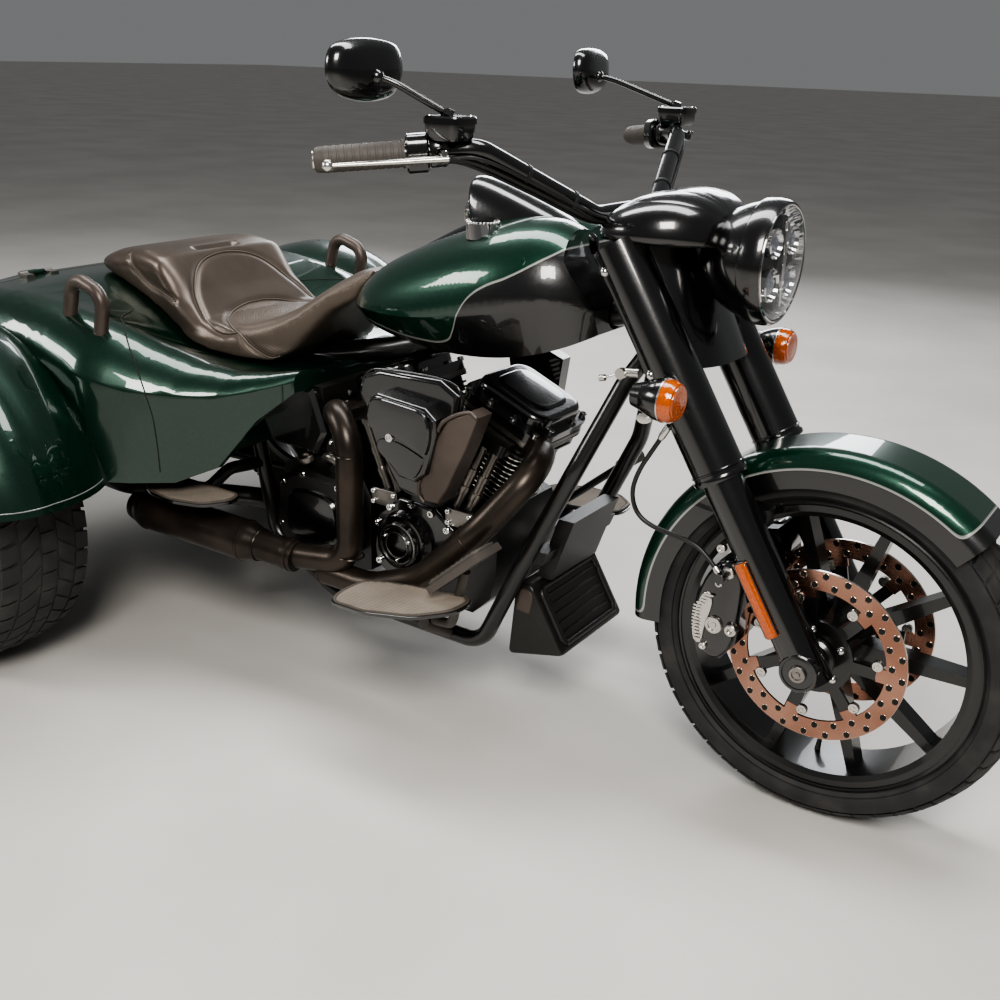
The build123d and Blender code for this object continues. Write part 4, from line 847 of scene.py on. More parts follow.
def spots_mesh(name, spots):
    """Points for the spots tree from (place, facing, along, size) rows."""
    mesh = bpy.data.meshes.new(name)
    mesh.from_pydata([tuple(spot[0]) for spot in spots], [], [])
    for column, label in enumerate(SPOT_FACTS, 1):
        fact = mesh.attributes.new(label, "FLOAT_VECTOR", "POINT")
        for index, spot in enumerate(spots):
            fact.data[index].vector = spot[column]
    return mesh


def fasteners(name, head, spots, finish, body):
    """Heads on (place, facing, radius) spots."""
    rows = []
    for place, facing, radius in spots:
        facing = Vector(facing).normalized()
        rows.append((place, facing, across_axes(facing)[0], (radius, radius, radius)))
    return TREES["spots"].run(name, finish, body, mesh=spots_mesh(name, rows), template=HEADS[head])


def bolt_ring(centre, reach, turns, facing, radius):
    """Spots for fasteners on an upright circle along the machine, at angles in degrees."""
    spots = []
    for turn in turns:
        angle = math.radians(turn)
        spots.append((centre + Vector((math.cos(angle) * reach, 0, math.sin(angle) * reach)), facing, radius))
    return spots


def smooth_tree():
    """Even shading for a node of the frame: its loose facets are joined and only real edges stay sharp."""
    tree = Tree("even_shading", (("Edge", "Float", math.radians(28)),))
    plain = tree.add(
        "GeometryNodeRemoveAttribute", None, {"Geometry": tree.take("Geometry"), "Name": "custom_normal"},
    )
    joined = tree.add("GeometryNodeMergeByDistance", None, {"Geometry": plain, "Distance": 0.00002})
    bend = tree.add("GeometryNodeInputMeshEdgeAngle")
    keen = tree.add("FunctionNodeCompare", {"operation": "GREATER_THAN"}, {"A": bend, "B": tree.take("Edge")})
    soft = tree.add("GeometryNodeSetShadeSmooth", None, {"Geometry": joined, "Shade Smooth": True})
    store = tree.add("GeometryNodeStoreNamedAttribute", {"data_type": "BOOLEAN", "domain": "EDGE"}, {
        "Geometry": soft, "Name": "sharp_edge", "Value": keen,
    })
    tree.group.links.new(store, tree.result.inputs[0])
    return tree


# Front end
HOSE_ROUTE = (
    (0.733, -0.150, 0.671), (0.714, -0.154, 0.634), (0.692, -0.156, 0.594), (0.681, -0.156, 0.552),
    (0.694, -0.154, 0.514), (0.730, -0.152, 0.498), (0.775, -0.150, 0.494), (0.817, -0.150, 0.484),
    (0.852, -0.150, 0.444),
)
LEG_SLOPE = math.tan(math.radians(32))
LEG_Y = 0.123
LAMP = Vector((0.836, 0, 0.929))
LAMP_STEPS = 72
LAMP_PARTS = (  # piece, finish, the frame's node that it stands for, (ahead, radius) rows of its section
    ("lamp_bowl", "black", "headlamp_bucket", (
        (-0.128, 0), (-0.128, 0.026), (-0.124, 0.040), (-0.112, 0.056), (-0.096, 0.070), (-0.078, 0.081),
        (-0.058, 0.0895), (-0.042, 0.0935), (-0.034, 0.0945), (-0.034, 0.088), (-0.05, 0.084), (-0.05, 0),
    )),
    ("lamp_trim", "black", None, (
        (-0.036, 0.0935), (-0.036, 0.0985), (-0.033, 0.1), (-0.014, 0.1), (-0.004, 0.0982), (0.0005, 0.0955),
        (0.0005, 0.0925), (-0.03, 0.0925), (-0.036, 0.0935),
    )),
    ("lamp_rim", "chrome", None, (
        (-0.006, 0.0895), (-0.006, 0.0926), (0.0015, 0.0926), (0.0028, 0.0914), (0.0022, 0.0898),
        (-0.006, 0.0895),
    )),
    ("lamp_glass", "glass", "headlamp_lens", (
        (0.0005, 0.0898), (0.0035, 0.084), (0.0075, 0.062), (0.0098, 0.034), (0.0105, 0.0), (0.0075, 0.0),
        (0.0068, 0.034), (0.0048, 0.062), (0.0008, 0.084), (-0.0015, 0.0898), (0.0005, 0.0898),
    )),
    ("lamp_reflector", "chrome", None, (
        (-0.030, 0.0), (-0.030, 0.04), (-0.022, 0.066), (-0.011, 0.083), (-0.0025, 0.0892), (-0.0025, 0.0897),
        (-0.018, 0.0868), (-0.036, 0.06), (-0.036, 0.0),
    )),
)


def on_leg(height, side, back=0.0, out=0.0):
    """A place on a fork leg's centre line, or behind and outside it."""
    return Vector((FRONT_AXLE.x - (height - FRONT_AXLE.z) * LEG_SLOPE - back, side * (LEG_Y + out), height))


class TRIKE_OT_hose(bpy.types.Operator):
    """Hang the front brake hose between its guide and the caliper"""

    bl_idname = "trike.hose"
    bl_label = "Brake Hose"

    def execute(self, context):
        curve = bpy.data.curves.new("brake_line", "CURVE")
        curve.dimensions = "3D"
        curve.bevel_depth, curve.bevel_resolution, curve.resolution_u = 0.004, 4, 20
        curve.use_fill_caps = True
        spline = curve.splines.new("NURBS")
        spline.points.add(len(HOSE_ROUTE) - 1)
        for point, place in zip(spline.points, HOSE_ROUTE):
            point.co = (*place, 1)
        spline.order_u = 3
        spline.use_endpoint_u = True
        spline.use_smooth = True
        curve.materials.append(FINISHES["hose"])
        line = bpy.data.objects.new("brake_line", curve)
        context.scene.collection.objects.link(line)
        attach(line, "fork")
        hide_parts("brake_hose")
        start, end = Vector(HOSE_ROUTE[0]), Vector(HOSE_ROUTE[-1])
        down = (Vector(HOSE_ROUTE[1]) - start).normalized()
        sleeve = [(-0.006, 0), (-0.006, 0.0058), (0.002, 0.0062), (0.014, 0.0062), (0.02, 0.0048), (0.02, 0)]
        top = turned("hose_top_ferrule", sleeve, start, down, "cut", "fork", 20)
        up = (Vector(HOSE_ROUTE[-2]) - end).normalized()
        low = turned("hose_low_ferrule", sleeve, end, up, "cut", "fork", 20)
        return {"FINISHED"}


class TRIKE_OT_headlamp(bpy.types.Operator):
    """Turn the headlamp's bowl and trim ring, and set its lens and reflectors"""

    bl_idname = "trike.headlamp"
    bl_label = "Headlamp"

    def execute(self, context):
        for name, finish, node, rows in LAMP_PARTS:
            piece = turned(name, rows, LAMP, AHEAD, finish, "fork", LAMP_STEPS)
            if node:
                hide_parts(node)
        facet = template("lamp_facet", [
            (-0.003, 0, 0.0868), (-0.001, -0.0045, 0.0885), (-0.001, 0.0045, 0.0885), (-0.018, 0, 0.071),
            (-0.02, -0.004, 0.076), (-0.02, 0.004, 0.076),
        ], [(0, 1, 2), (3, 5, 4), (0, 3, 4, 1), (0, 2, 5, 3), (1, 4, 5, 2)])
        facet.data.transform(Matrix.Rotation(math.radians(-90), 4, "Z"))
        made = TREES["ring"].run("lamp_facets", "chrome", "fork", 20, template=facet, count=44)
        made.data.transform(Matrix.Translation(LAMP) @ Matrix.Rotation(math.radians(90), 4, "Z"))

        # The lit unit: a dark cross piece with four small projectors and a bright blade
        cross = []
        for width, height, depth, lift in ((0.026, 0.148, 0.027, 0), (0.128, 0.022, 0.022, 0.004)):
            outline = round_rect(width, height, 0.008)
            cross.append(slab_skin(outline, AHEAD, depth, ACROSS, UP, LAMP + Vector((-0.031, 0, lift))))
        several("lamp_bezel", cross, "plastic", "fork", edge=0.002)
        for level, lift, size in (("high", 0.034, 0.021), ("low", -0.03, 0.024)):
            cup = [
                (-0.012, 0), (-0.012, size), (0.012, size + 0.003), (0.014, size + 0.0015),
                (0.002, size - 0.003),
                (0.0, 0),
            ]
            eye = [
                (0.0, size - 0.004), (0.007, size - 0.006), (0.0125, size * 0.45), (0.014, 0), (0, 0),
                (0.0, size - 0.004),
            ]
            for side, tag in SIDES:
                where = LAMP + Vector((-0.0135, side * 0.034, lift))
                turned(f"projector_cup_{level}_{tag}", cup, where, AHEAD, "chrome", "fork", 32)
                turned(f"projector_eye_{level}_{tag}", eye, where, AHEAD, "eye", "fork", 28)
        blade = [(-0.004, 0.066), (0.004, 0.066), (0.0055, 0), (0.003, -0.066), (-0.003, -0.066),
            (-0.0055, 0)]
        skin = slab_skin(blade, AHEAD, 0.008, ACROSS, UP, LAMP - AHEAD * 0.005)
        shaped("lamp_blade", *skin, "chrome", "fork", edge=0.001)
        return {"FINISHED"}


HOOD_ROWS = (  # x, half width, top
    (0.557, 0.082, 0.972), (0.562, 0.108, 0.988), (0.578, 0.130, 1.003), (0.602, 0.143, 1.016),
    (0.636, 0.149, 1.026), (0.668, 0.146, 1.030), (0.700, 0.134, 1.028), (0.726, 0.115, 1.019),
    (0.746, 0.093, 1.004), (0.757, 0.070, 0.986), (0.7605, 0.045, 0.968),
)
HOOD_FOOT = 0.951
BROW_STEPS = (  # first row of the hood under the step, its rise, its share of the hood's width
    (2, 0.0022, 0.80), (4, 0.0042, 0.62), (5, 0.006, 0.46),
)
BROW_TOP, BROW_DEEP = 1.0385, 0.036
FLANGE = (  # distance behind the leg's middle, height
    (0.030, 0.935), (0.036, 0.908), (0.033, 0.870), (0.033, 0.800), (0.038, 0.757), (0.032, 0.738),
    (0.014, 0.742), (0.008, 0.80), (0.008, 0.93),
)
FLANGE_IN, FLANGE_OUT = 0.020, 0.037
PANEL_HEIGHTS = (0.962, 0.93, 0.89, 0.85, 0.81, 0.776, 0.764)


def hood_ring(x, half, top, foot=HOOD_FOOT, steps=24):
    """An arch across the fork, closed by a level foot."""
    ring = []
    for step in range(steps + 1):
        angle = math.pi * step / steps
        side, rise = math.cos(angle), math.sin(angle)
        y = half * math.copysign(abs(side) ** 0.62, side)
        ring.append(Vector((x, y, foot + (top - foot) * rise ** 0.72)))
    for step in range(1, 8):
        ring.append(Vector((x, -half + 2 * half * step / 8, foot)))
    return ring


class TRIKE_OT_cowl(bpy.types.Operator):
    """Shape the hood over the fork, its stepped brow, the panel between the legs and the flanges"""

    bl_idname = "trike.cowl"
    bl_label = "Fork Hood"

    def execute(self, context):
        shell = shaped("fork_hood", *joined_rings([hood_ring(*row) for row in HOOD_ROWS]), "black", "fork",
            rounds=1, sharp=60)
        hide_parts("fork_cowl")
        steps = []
        for level, (start, drop, narrow) in enumerate(BROW_STEPS):
            rings = []
            for k, (x, half, top) in enumerate(HOOD_ROWS[start:-1]):
                crest = top + drop * min(1, k / 1.5 + 0.2)
                rings.append(hood_ring(x - 0.001 * level, half * narrow, min(crest, BROW_TOP), crest
                    - BROW_DEEP))
            steps.append(joined_rings(rings))
        several("hood_brow", steps, "black", "fork", rounds=1, sharp=60)
        flanges, bolts = [], []
        for side, tag in SIDES:
            flanges.append(joined_rings([
                [on_leg(z, side, back, out) for back, z in FLANGE] for out in (FLANGE_IN, FLANGE_OUT)
            ]))
            for height in (0.908, 0.757):
                bolts.append((on_leg(height, side, 0.025, FLANGE_OUT), (0, side, 0), 0.0085))
        several("cover_flanges", flanges, "black", "fork", edge=0.003)
        fasteners("cover_domes", "dome", bolts, "chrome", "fork")
        faces = []
        for height in PANEL_HEIGHTS:
            middle, row = 1.151 - 0.4877 * height, []
            for step in range(-12, 13):
                share = step / 12
                edge = on_leg(height, 1, -0.030).x
                row.append(Vector((middle + (edge - middle) * abs(share) ** 3, 0.100 * share, height)))
            faces.append(row + [spot - AHEAD * 0.005 for spot in reversed(row)])
        shaped("fork_panel", *joined_rings(faces), "black", "fork", sharp=50)
        index = 0
        for side, tag in SIDES:
            axis = on_leg(0.9, side) - on_leg(0.6, side)
            for height, radius, deep in ((0.6, 0.0445, 0.01), (0.613, 0.0438, 0.004)):
                turned(f"cover_ring_{index}", [
                    (0, radius - 0.006), (0, radius), (deep * 0.3, radius + 0.0012),
                    (deep * 0.7, radius + 0.0012),
                    (deep, radius), (deep, radius - 0.006), (0, radius - 0.006),
                ], on_leg(height, side), axis, "black", "fork", 48)
                index += 1
        return {"FINISHED"}


SIGNAL_PARTS = (  # piece, finish, (ahead, radius) rows of its section
    ("shell", "black", (
        (-0.0525, 0), (-0.052, 0.006), (-0.048, 0.0135), (-0.040, 0.0205), (-0.028, 0.0270), (-0.014, 0.0318),
        (-0.002, 0.0338), (0.0015, 0.0338), (0.0015, 0),
    )),
    ("lens", "amber", (
        (0.0005, 0.0332), (0.004, 0.0338), (0.0145, 0.0326), (0.021, 0.0292), (0.0235, 0.024),
        (0.0245, 0.012), (0.0248, 0), (0.0005, 0), (0.0005, 0.0332),
    )),
    ("rim", "cut", ((0.0, 0.0332), (0.0, 0.0344), (0.0022, 0.0344), (0.0022, 0.0332), (0.0, 0.0332))),
)


class TRIKE_OT_signals(bpy.types.Operator):
    """Turn the bullet-shaped turn signals and mould their lenses"""

    bl_idname = "trike.signals"
    bl_label = "Front Signals"

    def execute(self, context):
        for side, tag in SIDES:
            middle = Vector((0.764, side * 0.232, 0.743))
            for name, finish, rows in SIGNAL_PARTS:
                turned(f"signal_{name}_{tag}", rows, middle, AHEAD, finish, "fork", 48)
            root, end = middle + Vector((-0.026, -side * 0.02, -0.004)), on_leg(0.7425, side, -0.002, 0.034)
            tube("signal_arm_" + tag, [root, root.lerp(end, 0.5), end], 0.0092, "black", "fork", 10, 20)
            collar = [(0, 0), (0, 0.0125), (0.012, 0.0125), (0.0145, 0.0095), (0.0145, 0)]
            turned("signal_collar_" + tag, collar, end, (0, side, 0), "black", "fork", 28)
            tab = smooth_outline([
                (-0.011, 0.0), (-0.003, 0.0075), (0.011, 0.0065), (0.016, 0.0), (0.008, -0.0065),
                (-0.004, -0.0075),
            ], 28)
            shift = middle + Vector((-0.036, 0, -0.036))
            skin = slab_skin(tab, ACROSS, 0.003, AHEAD, UP, shift)
            shaped("signal_tab_" + tag, *skin, "cut", "fork", edge=0.0006)
            stay = [shift + Vector((x, 0.0015, z)) for x,
                z in ((0.008, 0.002), (0.016, 0.006), (0.024, 0.01))]
            tube("signal_stay_" + tag, stay, 0.0022, "cut", "fork", 8, 10)
        spot = on_leg(0.752, -1, 0.055, 0.022)

        def by_stop(*shift):
            return spot + Vector(shift)

        wire = smooth_path([by_stop(-0.034, -0.006, -0.004), by_stop(-0.05, -0.007, -0.012),
            by_stop(-0.062, -0.008, -0.016)], 10)
        several("cable_stop", [
            tube_skin([spot, by_stop(-0.034, 0, -0.004)], 0.0075, 18),
            tube_skin([by_stop(-0.030, -0.002, -0.004), by_stop(-0.030, -0.012, -0.004)], 0.0092, 18),
            tube_skin(wire, 0.0018, 8),
            tube_skin([by_stop(-0.058, -0.008, -0.0155), by_stop(-0.068, -0.008, -0.018)], 0.0055, 14),
        ], "cut", "fork", sharp=40)
        return {"FINISHED"}


# Wheels and brakes
TYRES = (  # node, middle, radius, half width, rim radius, half rim, shoulder's drop, blocks round it, body
    ("front_tyre", FRONT_AXLE, FRONT_TYRE_R, 0.065, 0.245, 0.050, 0.017, 52, "front_wheel_body"),
    *(
        ("rear_tyre_" + tag, REAR_AXLE, REAR_TYRE_R, 0.1025, 0.196, 0.085, 0.014, 46,
            f"rear_wheel_{tag}_body")
        for side, tag in SIDES
    ),
)
TREAD_CUT = 0.0038  # depth of the cuts between the blocks
TREAD_BANDS = (  # inner and outer edge over the half width, start and end over the pitch, lean
    (-0.94, -0.62, 0.04, 0.90, 0.35), (-0.575, -0.20, 0.16, 1.06, 0.9), (-0.155, 0.155, 0.02, 0.985, 0.0),
    (0.20, 0.575, 0.10, 1.0, 0.9), (0.62, 0.94, 0.44, 1.30, 0.35),
)


def crown(half_tread, outer, drop):
    """The tread's radius at a distance from its middle."""
    return lambda y: outer - drop * min(abs(y) / half_tread, 1.0) ** 2


def tread_blocks(half, top, pitch):
    """Points and faces of one pitch of the tread: a block in each band, with eased edges."""
    verts, faces = [], []
    for inner, outer, first, last, skew in TREAD_BANDS:
        start = len(verts)
        for share, edge in ((inner, 0.0016), ((inner + outer) / 2, 0.0), (outer, 0.0016)):
            lean = skew * pitch * (abs(share) - 0.5) * 2
            for angle, reach in (
                (first, TREAD_CUT + 0.002), (first + 0.03, 0.0003 + edge), (last - 0.03, 0.0003 + edge),
                (last, TREAD_CUT + 0.002),
            ):
                turn, radius = angle * pitch + lean, top(share * half) - reach
                verts.append((radius * math.sin(turn), share * half, radius * math.cos(turn)))
        for row in (start, start + 4):
            faces += [(a, a + 1, a + 5, a + 4) for a in (row, row + 1, row + 2)]
        for corners in ((3, 2, 1, 0), (8, 9, 10, 11), (0, 4, 8, 11, 7, 3)):
            faces.append(tuple(start + corner for corner in corners))
    return verts, faces


class TRIKE_OT_tyres(bpy.types.Operator):
    """Turn each tyre's casing and set its cut tread blocks in a ring"""

    bl_idname = "trike.tyres"
    bl_label = "Tyres"

    def execute(self, context):
        for node, axle, outer, half, rim, lip, drop, count, body in TYRES:
            low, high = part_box(node)
            middle = Vector((axle.x, (low.y + high.y) / 2, axle.z))
            top = crown(half, outer, drop)
            shoulder, flange = outer - drop, rim + 0.013
            waist = (shoulder + flange) / 2
            side = [
                (-lip, rim + 0.001), (-lip - 0.001, flange),
                (-half * 0.905, flange + (waist - flange) * 0.42),
                (-half * 0.968, waist - 0.012), (-half * 0.975, waist - 0.0105), (-half * 0.992, waist),
                (-half * 0.985, waist + 0.012), (-half * 0.965, (waist + shoulder) / 2 + 0.004),
                (-half * 0.925, shoulder - 0.010), (-half * 0.87, shoulder - TREAD_CUT + 0.001),
            ]
            tread = [(y * half, top(y * half) - TREAD_CUT) for y in (-0.6, -0.3, 0, 0.3, 0.6)]
            profile = side + tread + [(-y, r) for y, r in reversed(side)] + [side[0]]
            casing = turned(node + "_casing", profile, middle, ACROSS, "tyre", body, 96, 30)
            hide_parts(node)
            block = template("tread_block", *tread_blocks(half, top, 2 * math.pi / count))
            TREES["ring"].run(
                node + "_tread", "tyre", body, 25, template=block, count=count, centre=tuple(middle),
            )
        return {"FINISHED"}


DISC_Y, DISC_HALF_T, DISC_R = 0.079, 0.0025, 0.150
DISC_HOLES = (  # radius of the ring, holes in it, where it starts
    (0.1425, 24, 0.0), (0.1255, 24, 0.13),
)
CALIPER_Y = 0.128
CALIPER = (  # x, z of its outline
    (0.868, 0.468), (0.840, 0.462), (0.817, 0.425), (0.806, 0.372), (0.812, 0.322), (0.828, 0.294),
    (0.852, 0.289), (0.872, 0.312), (0.880, 0.350), (0.884, 0.392), (0.884, 0.440),
)
CALIPER_BOLTS = (  # x, z, radius
    (0.862, 0.452, 0.0105), (0.846, 0.428, 0.0065), (0.829, 0.308, 0.0065), (0.876, 0.352, 0.0105),
)
CALIPER_PAD = (
    (0.829, 0.408), (0.817, 0.396), (0.808, 0.352), (0.811, 0.318), (0.824, 0.313), (0.829, 0.345),
    (0.838, 0.390),
)


class TRIKE_OT_brakes(bpy.types.Operator):
    """Mark the brake discs' drill holes with painted shade, pin them to their carriers and dress the calipers
    """

    bl_idname = "trike.brakes"
    bl_label = "Brakes"

    def execute(self, context):
        for side, tag in SIDES:
            outside = ACROSS * side
            self.disc(side, tag, outside)
            self.caliper(side, tag, outside)
            self.foot(side, tag, outside)
        return {"FINISHED"}

    def disc(self, side, tag, outside):
        """The drilled disc, whose holes are drawn as near-black plugs of painted shade with bright lips, with
        its buttons, screws and edge, and the hub's cap.
        """
        body = "front_wheel_body"
        hole, lip = circle(14, 0.0052), circle(14, 0.0064)
        for face in (-1, 1):
            label = f"{tag}_{'out' if face == side else 'in'}"
            centre = (FRONT_AXLE.x, side * DISC_Y + face * DISC_HALF_T, FRONT_AXLE.z)
            for row, (radius, count, start) in enumerate(DISC_HOLES):
                def ring(outline, grow, rise):
                    return [Vector((u * grow, face * rise, radius + v * grow)) for u, v in outline]

                repeat = {"count": count, "start": start, "centre": centre}
                # The drill holes are flat near-black plugs on each face of the disc: painted shade in place
                # of real holes.
                dark = template("disc_hole", *joined_rings([ring(hole, 1, 0.00035), ring(hole, 1, -0.0006)]))
                TREES["ring"].run(f"disc_holes_{label}_{row}", "void", body, 30, template=dark, **repeat)
                rings = [ring(lip, 0.98, 0.0001), ring(lip, 0.9, 0.00045), ring(hole, 1, 0.0002)]
                rim = template("disc_lip", *joined_rings(rings, caps=False))
                TREES["ring"].run(f"disc_lips_{label}_{row}", "disc_edge", body, 30, template=rim, **repeat)
        turns = [8.6 - 360 / 7 * k for k in range(7)]
        pins = bolt_ring(FRONT_AXLE + outside * 0.0815, 0.1035, turns, outside, 0.0092)
        fasteners("disc_buttons_" + tag, "plug", pins, "cut", body)
        turned("disc_edge_" + tag, [
            (-0.0024, DISC_R - 0.0012), (-0.0024, DISC_R + 0.0003), (0.0024, DISC_R + 0.0003),
            (0.0024, DISC_R - 0.0012), (-0.0024, DISC_R - 0.0012),
        ], FRONT_AXLE + outside * DISC_Y, ACROSS, "cut", body, 96)
        screws = bolt_ring(FRONT_AXLE + outside * 0.0822, 0.047, range(30, 390, 72), outside, 0.0075)
        fasteners("carrier_screws_" + tag, "dome", screws, "chrome", body)
        turned("hub_cap_" + tag, [
            (0.0, 0.030), (0.004, 0.036), (0.012, 0.036), (0.016, 0.031), (0.016, 0.02), (0.0, 0.02),
            (0.0, 0.030),
        ], FRONT_AXLE + outside * 0.082, outside, "wheel", body, 48)

    def caliper(self, side, tag, outside):
        """The caliper's outer half: a dark bridge, a finned pad of silver and its bolts."""
        base = outside * CALIPER_Y
        plan = smooth_outline(CALIPER, 60)
        rows = ((0.997, -0.046), (1.0, 0.0), (0.985, 0.006), (0.94, 0.0105), (0.86, 0.0125))
        skin = stacked(plan, rows, base, AHEAD, UP, outside, middle_of(plan))
        shaped("caliper_" + tag, *skin, "black", "fork", sharp=40)
        plate = slab_skin(smooth_outline(CALIPER_PAD, 30), outside, 0.0155, AHEAD, UP, base)
        shaped("caliper_pad_" + tag, *plate, "cut", "fork", edge=0.001)
        rib = round_rect(0.0136, 0.0032, 0.0012, 3)
        ribs = []
        for k in range(15):
            z = 0.320 + 0.006 * k
            bow = 0.0081 * math.sin((z - 0.312) / 0.1 * math.pi)
            x = 0.821 - bow + max(0, z - 0.38) * 0.62
            ribs.append(slab_skin(rib, outside, 0.0022, AHEAD, UP, base + Vector((x, side * 0.0158, z))))
        several("caliper_ribs_" + tag, ribs, "cut", "fork", sharp=40)
        plug = (base + Vector((0.845, side * 0.012, 0.352)), outside, 0.0155)
        fasteners("caliper_plug_" + tag, "plug", [plug], "cut", "fork")
        spots = [(base + Vector((x, side * 0.0105, z)), outside, radius) for x, z, radius in CALIPER_BOLTS]
        spots.append((on_leg(0.492, side, 0.046, 0.020), outside, 0.0078))
        fasteners("caliper_bolts_" + tag, "socket", spots, "cut", "fork")
        turned("banjo_" + tag, [
            (-0.004, 0), (-0.004, 0.0105), (0.0, 0.0115), (0.008, 0.0115), (0.0095, 0.0085), (0.017, 0.0085),
            (0.017, 0),
        ], Vector((0.852, side * 0.1445, 0.444)), outside, "black", "fork", 24)

    def foot(self, side, tag, outside):
        """The leg's foot: a pinch boss, the axle's end and the long amber strip in its frame."""
        foot = FRONT_AXLE + outside * (LEG_Y + 0.031)
        turned("axle_boss_" + tag, [
            (-0.004, 0.0), (-0.004, 0.031), (0.001, 0.0325), (0.0045, 0.031), (0.0055, 0.0265),
            (0.0035, 0.0255),
            (0.0035, 0.0),
        ], foot, outside, "black", "fork", 48)
        fasteners("axle_end_" + tag, "plug", [(foot + outside * 0.003, outside, 0.0145)], "steel", "fork")
        axis = (on_leg(0.37, side) - on_leg(0.49, side)).normalized()
        forward = axis.cross(outside).normalized()
        if forward.x < 0:
            forward.negate()
        middle = (on_leg(0.486, side) + on_leg(0.376, side)) / 2 + Vector((-0.012, side * 0.0245, -0.006))
        for label, long, wide, corner, deep, finish in (
            ("frame", 0.134, 0.025, 0.006, 0.0135, "black"), ("lens", 0.127, 0.0195, 0.004, 0.0155, "amber"),
        ):
            skin = slab_skin(round_rect(long, wide, corner), outside, deep, axis, forward, middle)
            shaped(f"strip_{label}_{tag}", *skin, finish, "fork", edge=0.0016)


class TRIKE_OT_wheels(bpy.types.Operator):
    """Add rim lips, valve stems, hub caps and wheel nuts"""

    bl_idname = "trike.wheels"
    bl_label = "Wheels"

    def execute(self, context):
        lip = [
            (0, 0.2545), (0, 0.2575), (0.003, 0.2575), (0.0045, 0.2545), (0.003, 0.2515), (0, 0.2515),
            (0, 0.2545),
        ]
        turned("front_valve", [
            (0, 0), (0, 0.0055), (0.012, 0.0045), (0.03, 0.004), (0.03, 0.005), (0.04, 0.005), (0.04, 0),
        ], FRONT_AXLE + Vector((0.0, 0.02, -0.232)), (0, 0.35, 1), "hose", "front_wheel_body", 16)
        for side, tag in SIDES:
            outside = ACROSS * side
            middle = FRONT_AXLE + outside * 0.0545
            turned("front_rim_lip_" + tag, lip, middle, outside, "wheel", "front_wheel_body", 96)
            body = f"rear_wheel_{tag}_body"
            low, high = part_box("rear_wheel_" + tag)
            face = low.y if side < 0 else high.y
            hub = Vector((REAR_AXLE.x, face - side * 0.03, REAR_AXLE.z))
            turned("rear_cap_" + tag, [
                (0, 0), (0, 0.036), (0.012, 0.036), (0.02, 0.031), (0.024, 0.02), (0.0245, 0),
            ], hub, outside, "wheel", body, 48)
            nuts = bolt_ring(hub - outside * 0.002, 0.057, range(90, 450, 72), outside, 0.0105)
            fasteners("rear_nuts_" + tag, "hex", nuts, "chrome", body)
        return {"FINISHED"}


# Engine
CRANK = Vector((0.226, 0, 0.262))
VEE = math.radians(22.5)
CYLINDERS = (("front", VEE), ("rear", -VEE))


def barrel_axes(lean):
    """Up a cylinder's axis, and forward across it."""
    return Vector((math.sin(lean), 0, math.cos(lean))), Vector((math.cos(lean), 0, -math.sin(lean)))


def barrel(lean, distance, along=0.0, side=0.0):
    """A place by its distance up a cylinder's axis, then fore and aft, then across."""
    up, fore = barrel_axes(lean)
    return CRANK + up * distance + fore * along + Vector((0, side, 0))


def barrel_band(lean, low, high, length, width, corner, thick):
    """A band that goes round a cylinder's rounded block."""
    up, fore = barrel_axes(lean)
    inner = round_rect(length, width, corner, 8)
    outer = round_rect(length + 2 * thick, width + 2 * thick, corner + thick, 8)
    rings = []
    for outline, level in ((inner, low), (outer, low), (outer, high), (inner, high)):
        rings.append([CRANK + up * level + fore * u + Vector((0, v, 0)) for u, v in outline])
    return joined_rings(rings, round_trip=True)


FIN_BASE, FIN_TOP, FIN_COUNT = 0.190, 0.318, 12  # the fins' run up a cylinder's axis
FIN_BLOCK = (0.150, 0.164, 0.030)  # length, width and corner of the finned block
ROCKER_BASE = FIN_TOP + 0.0316
ROCKER_BLOCK = (0.190, 0.188, 0.034)
PUSHRODS = (  # its cylinder's lean, place along it
    (VEE, 0.006), (VEE, 0.034), (-VEE, -0.006), (-VEE, -0.034),
)
CAM = Vector((0.194, -0.168, 0.330))
CAM_COVER_BOLTS = (  # x, z
    (0.122, 0.352), (0.128, 0.272), (0.176, 0.250), (0.240, 0.254), (0.290, 0.292), (0.305, 0.338),
    (0.293, 0.378), (0.255, 0.402), (0.205, 0.408), (0.155, 0.392),
)
GEARBOX_EDGE = (  # x, z
    (-0.112, 0.300), (-0.092, 0.262), (-0.02, 0.258), (0.034, 0.258), (0.072, 0.286), (0.072, 0.372),
    (0.044, 0.412), (-0.05, 0.420), (-0.104, 0.394),
)
STARTER = Vector((0.040, -0.150, 0.484))
CLUTCH, STATOR = Vector((-0.066, 0.192, 0.326)), Vector((0.226, 0.188, 0.318))


